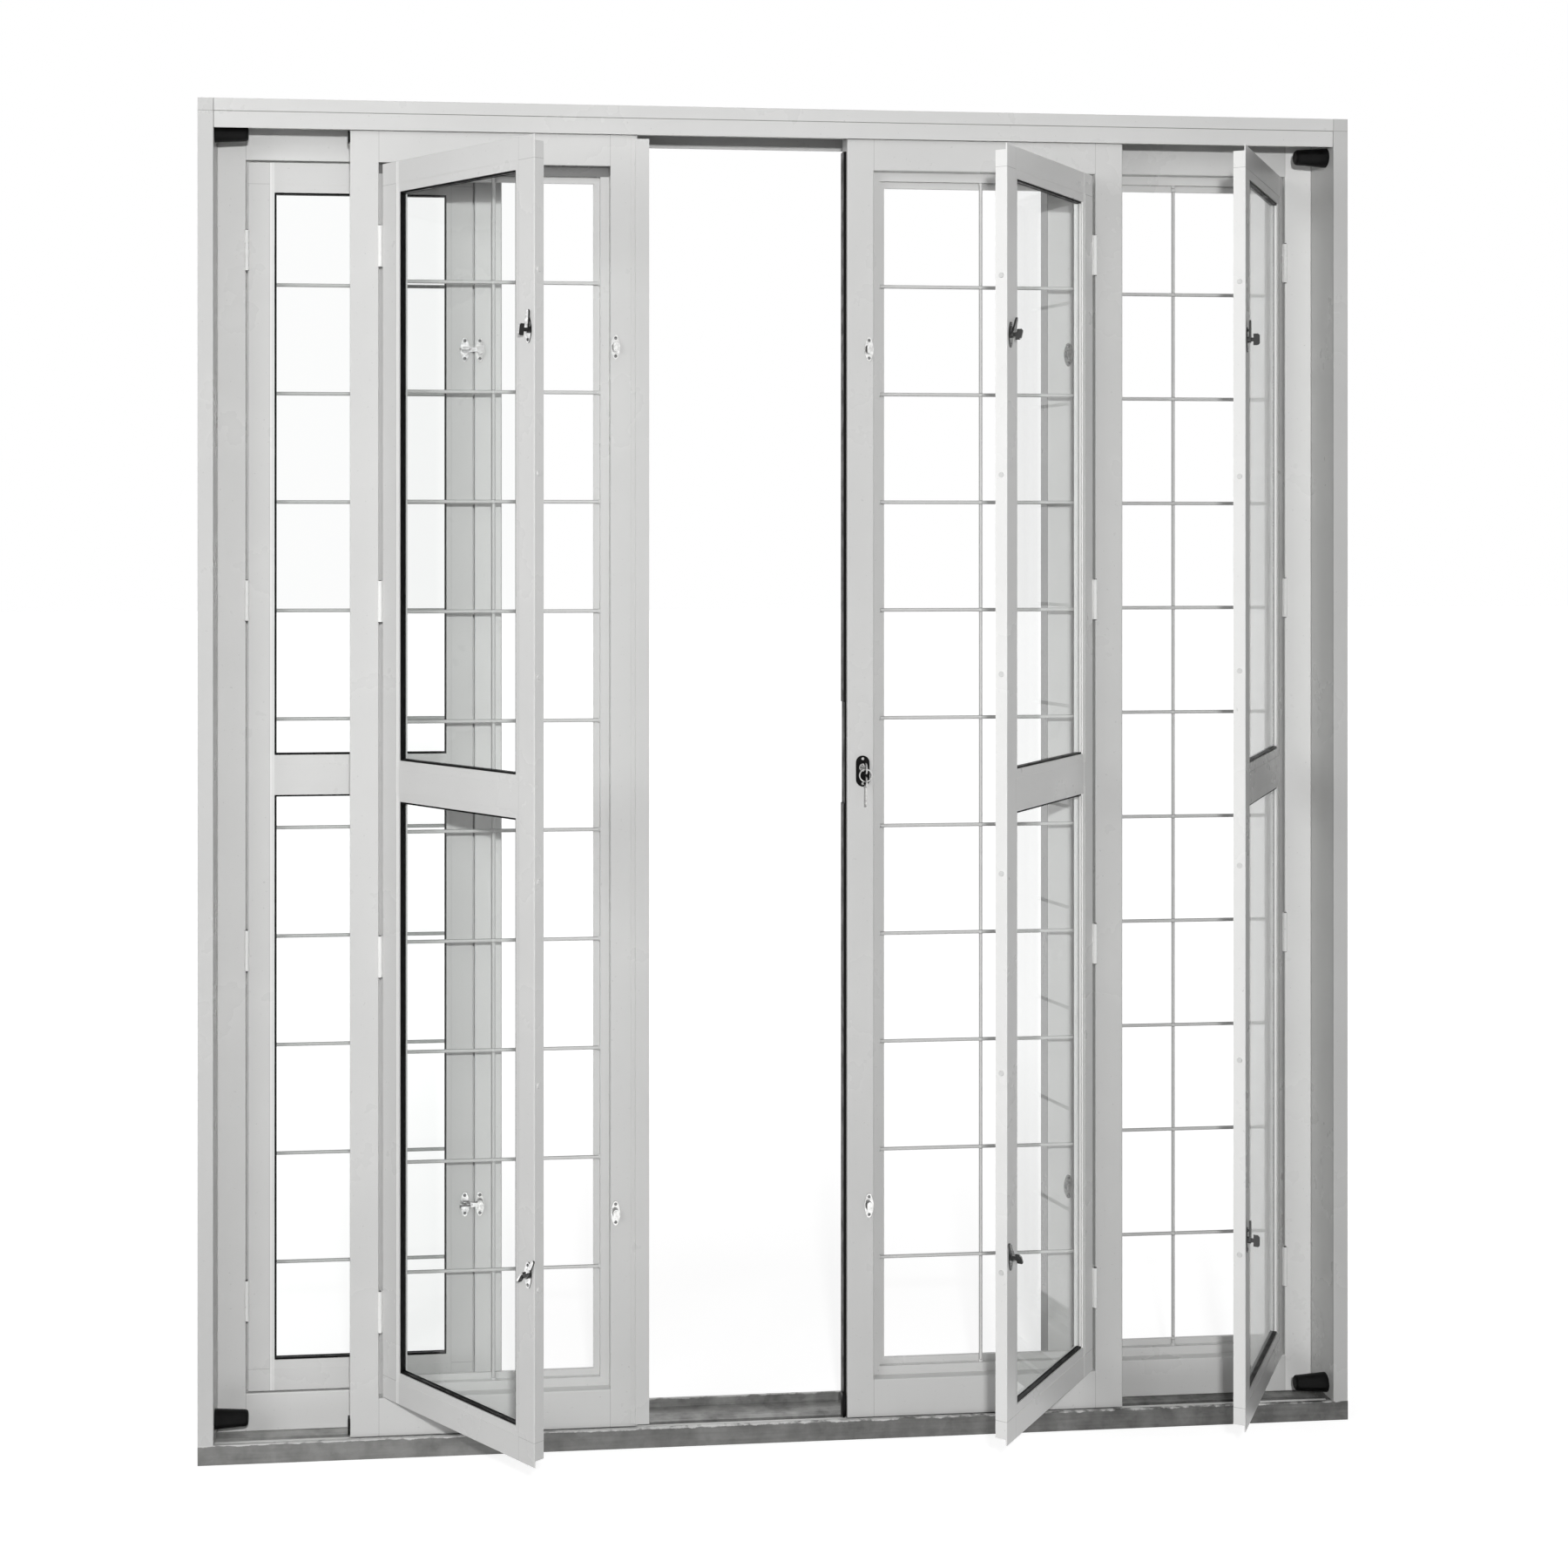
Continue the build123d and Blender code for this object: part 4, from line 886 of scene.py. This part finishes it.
made = bmesh.new()
matrix = Matrix.Translation((0, 0, FLOOR_Z))
bmesh.ops.create_grid(made, x_segments=1, y_segments=1, size=FLOOR_HALF, matrix=matrix)
floor_mesh = bpy.data.meshes.new("floor")
made.to_mesh(floor_mesh)
made.free()
floor = bpy.data.objects.new("floor", floor_mesh)
bpy.context.scene.collection.objects.link(floor)
white = bpy.data.materials.new("white_floor")
white.use_nodes = True
tree = white.node_tree
surface = tree.nodes["Principled BSDF"]
where = on_object(tree)
pale = spread(tree, noise(tree, where, 3.0, 3.0), 0.3, 0.7, 0.40, 0.42)
grey = put(tree, "ShaderNodeCombineColor", {0: pale, 1: pale, 2: pale})[0]
tree.links.new(grey, surface.inputs["Base Color"])
surface.inputs["Roughness"].default_value = 0.8
surface.inputs["Specular IOR Level"].default_value = 0.1
surface.inputs["Emission Color"].default_value = (1, 1, 1, 1)
distance = put(tree, "ShaderNodeVectorMath", {0: where}, operation="LENGTH")["Value"]
glow = spread(tree, distance, 0.8, 3.0, NEAR_GLOW, 1.0)
tree.links.new(times(tree, seen_white(tree), glow), surface.inputs["Emission Strength"])
floor_mesh.materials.append(white)

# Light. One key lamp just above the camera, a large soft box at the left, weaker ones at the
# right and behind, and a dim white room, which shows as white behind the door.
ROOM_FILL = 0.18

for name, place, target, size, power in (
    ("key", (-0.62, -4.1, 1.95), (0.0, 0.0, 1.05), (0.15, 0.11), 94.0),
    ("left_box", (-3.4, -3.0, 2.6), (-0.2, 0.0, 1.1), (2.2, 2.2), 64.0),
    ("right_box", (3.4, -3.2, 2.6), (0.2, 0.0, 1.1), (2.0, 2.0), 13.0),
    ("back_box", (0.6, 4.2, 2.8), (0.0, 0.0, 1.1), (3.0, 2.4), 10.0),
):
    lamp_data = bpy.data.lights.new(name, "AREA")
    lamp_data.shape = "RECTANGLE"
    lamp_data.size, lamp_data.size_y = size
    lamp_data.energy = power
    lamp = bpy.data.objects.new(name, lamp_data)
    lamp.location = place
    aim = Vector(target) - Vector(place)
    lamp.rotation_euler = aim.to_track_quat("-Z", "Y").to_euler()
    lamp.visible_glossy = name not in ("key", "left_box")
    lamp.visible_transmission = False
    bpy.context.scene.collection.objects.link(lamp)
room = bpy.data.worlds.new("white_room")
bpy.context.scene.world = room
room.use_nodes = True
tree = room.node_tree
backdrop = tree.nodes["Background"]
backdrop.inputs["Color"].default_value = (1, 1, 1, 1)
strength = spread(tree, seen_white(tree), 0.0, 1.0, ROOM_FILL, 1.0)
tree.links.new(strength, backdrop.inputs["Strength"])

# Camera. It stands where the photograph was taken from, left of the middle at eye height, and
# its picture is shifted to match the photograph.
IMAGE_PIXELS = 1800
FOCAL_PIXELS = 2528.36
CENTRE_PIXEL = (658.87, 616.28)
SENSOR = 36.0
CAMERA_PLACE = (-0.688, -3.5625, 1.4595)
CAMERA_TURN = 5.582

camera_data = bpy.data.cameras.new("camera")
camera_data.sensor_width = SENSOR
camera_data.sensor_fit = "HORIZONTAL"
camera_data.lens = FOCAL_PIXELS / IMAGE_PIXELS * SENSOR
camera_data.shift_x = (IMAGE_PIXELS / 2 - CENTRE_PIXEL[0]) / IMAGE_PIXELS
camera_data.shift_y = -(IMAGE_PIXELS / 2 - CENTRE_PIXEL[1]) / IMAGE_PIXELS
camera = bpy.data.objects.new("camera", camera_data)
camera.location = CAMERA_PLACE
camera.rotation_euler = (math.pi / 2, 0, -math.radians(CAMERA_TURN))
bpy.context.scene.collection.objects.link(camera)
bpy.context.scene.camera = camera
bpy.context.scene.view_settings.view_transform = "Standard"
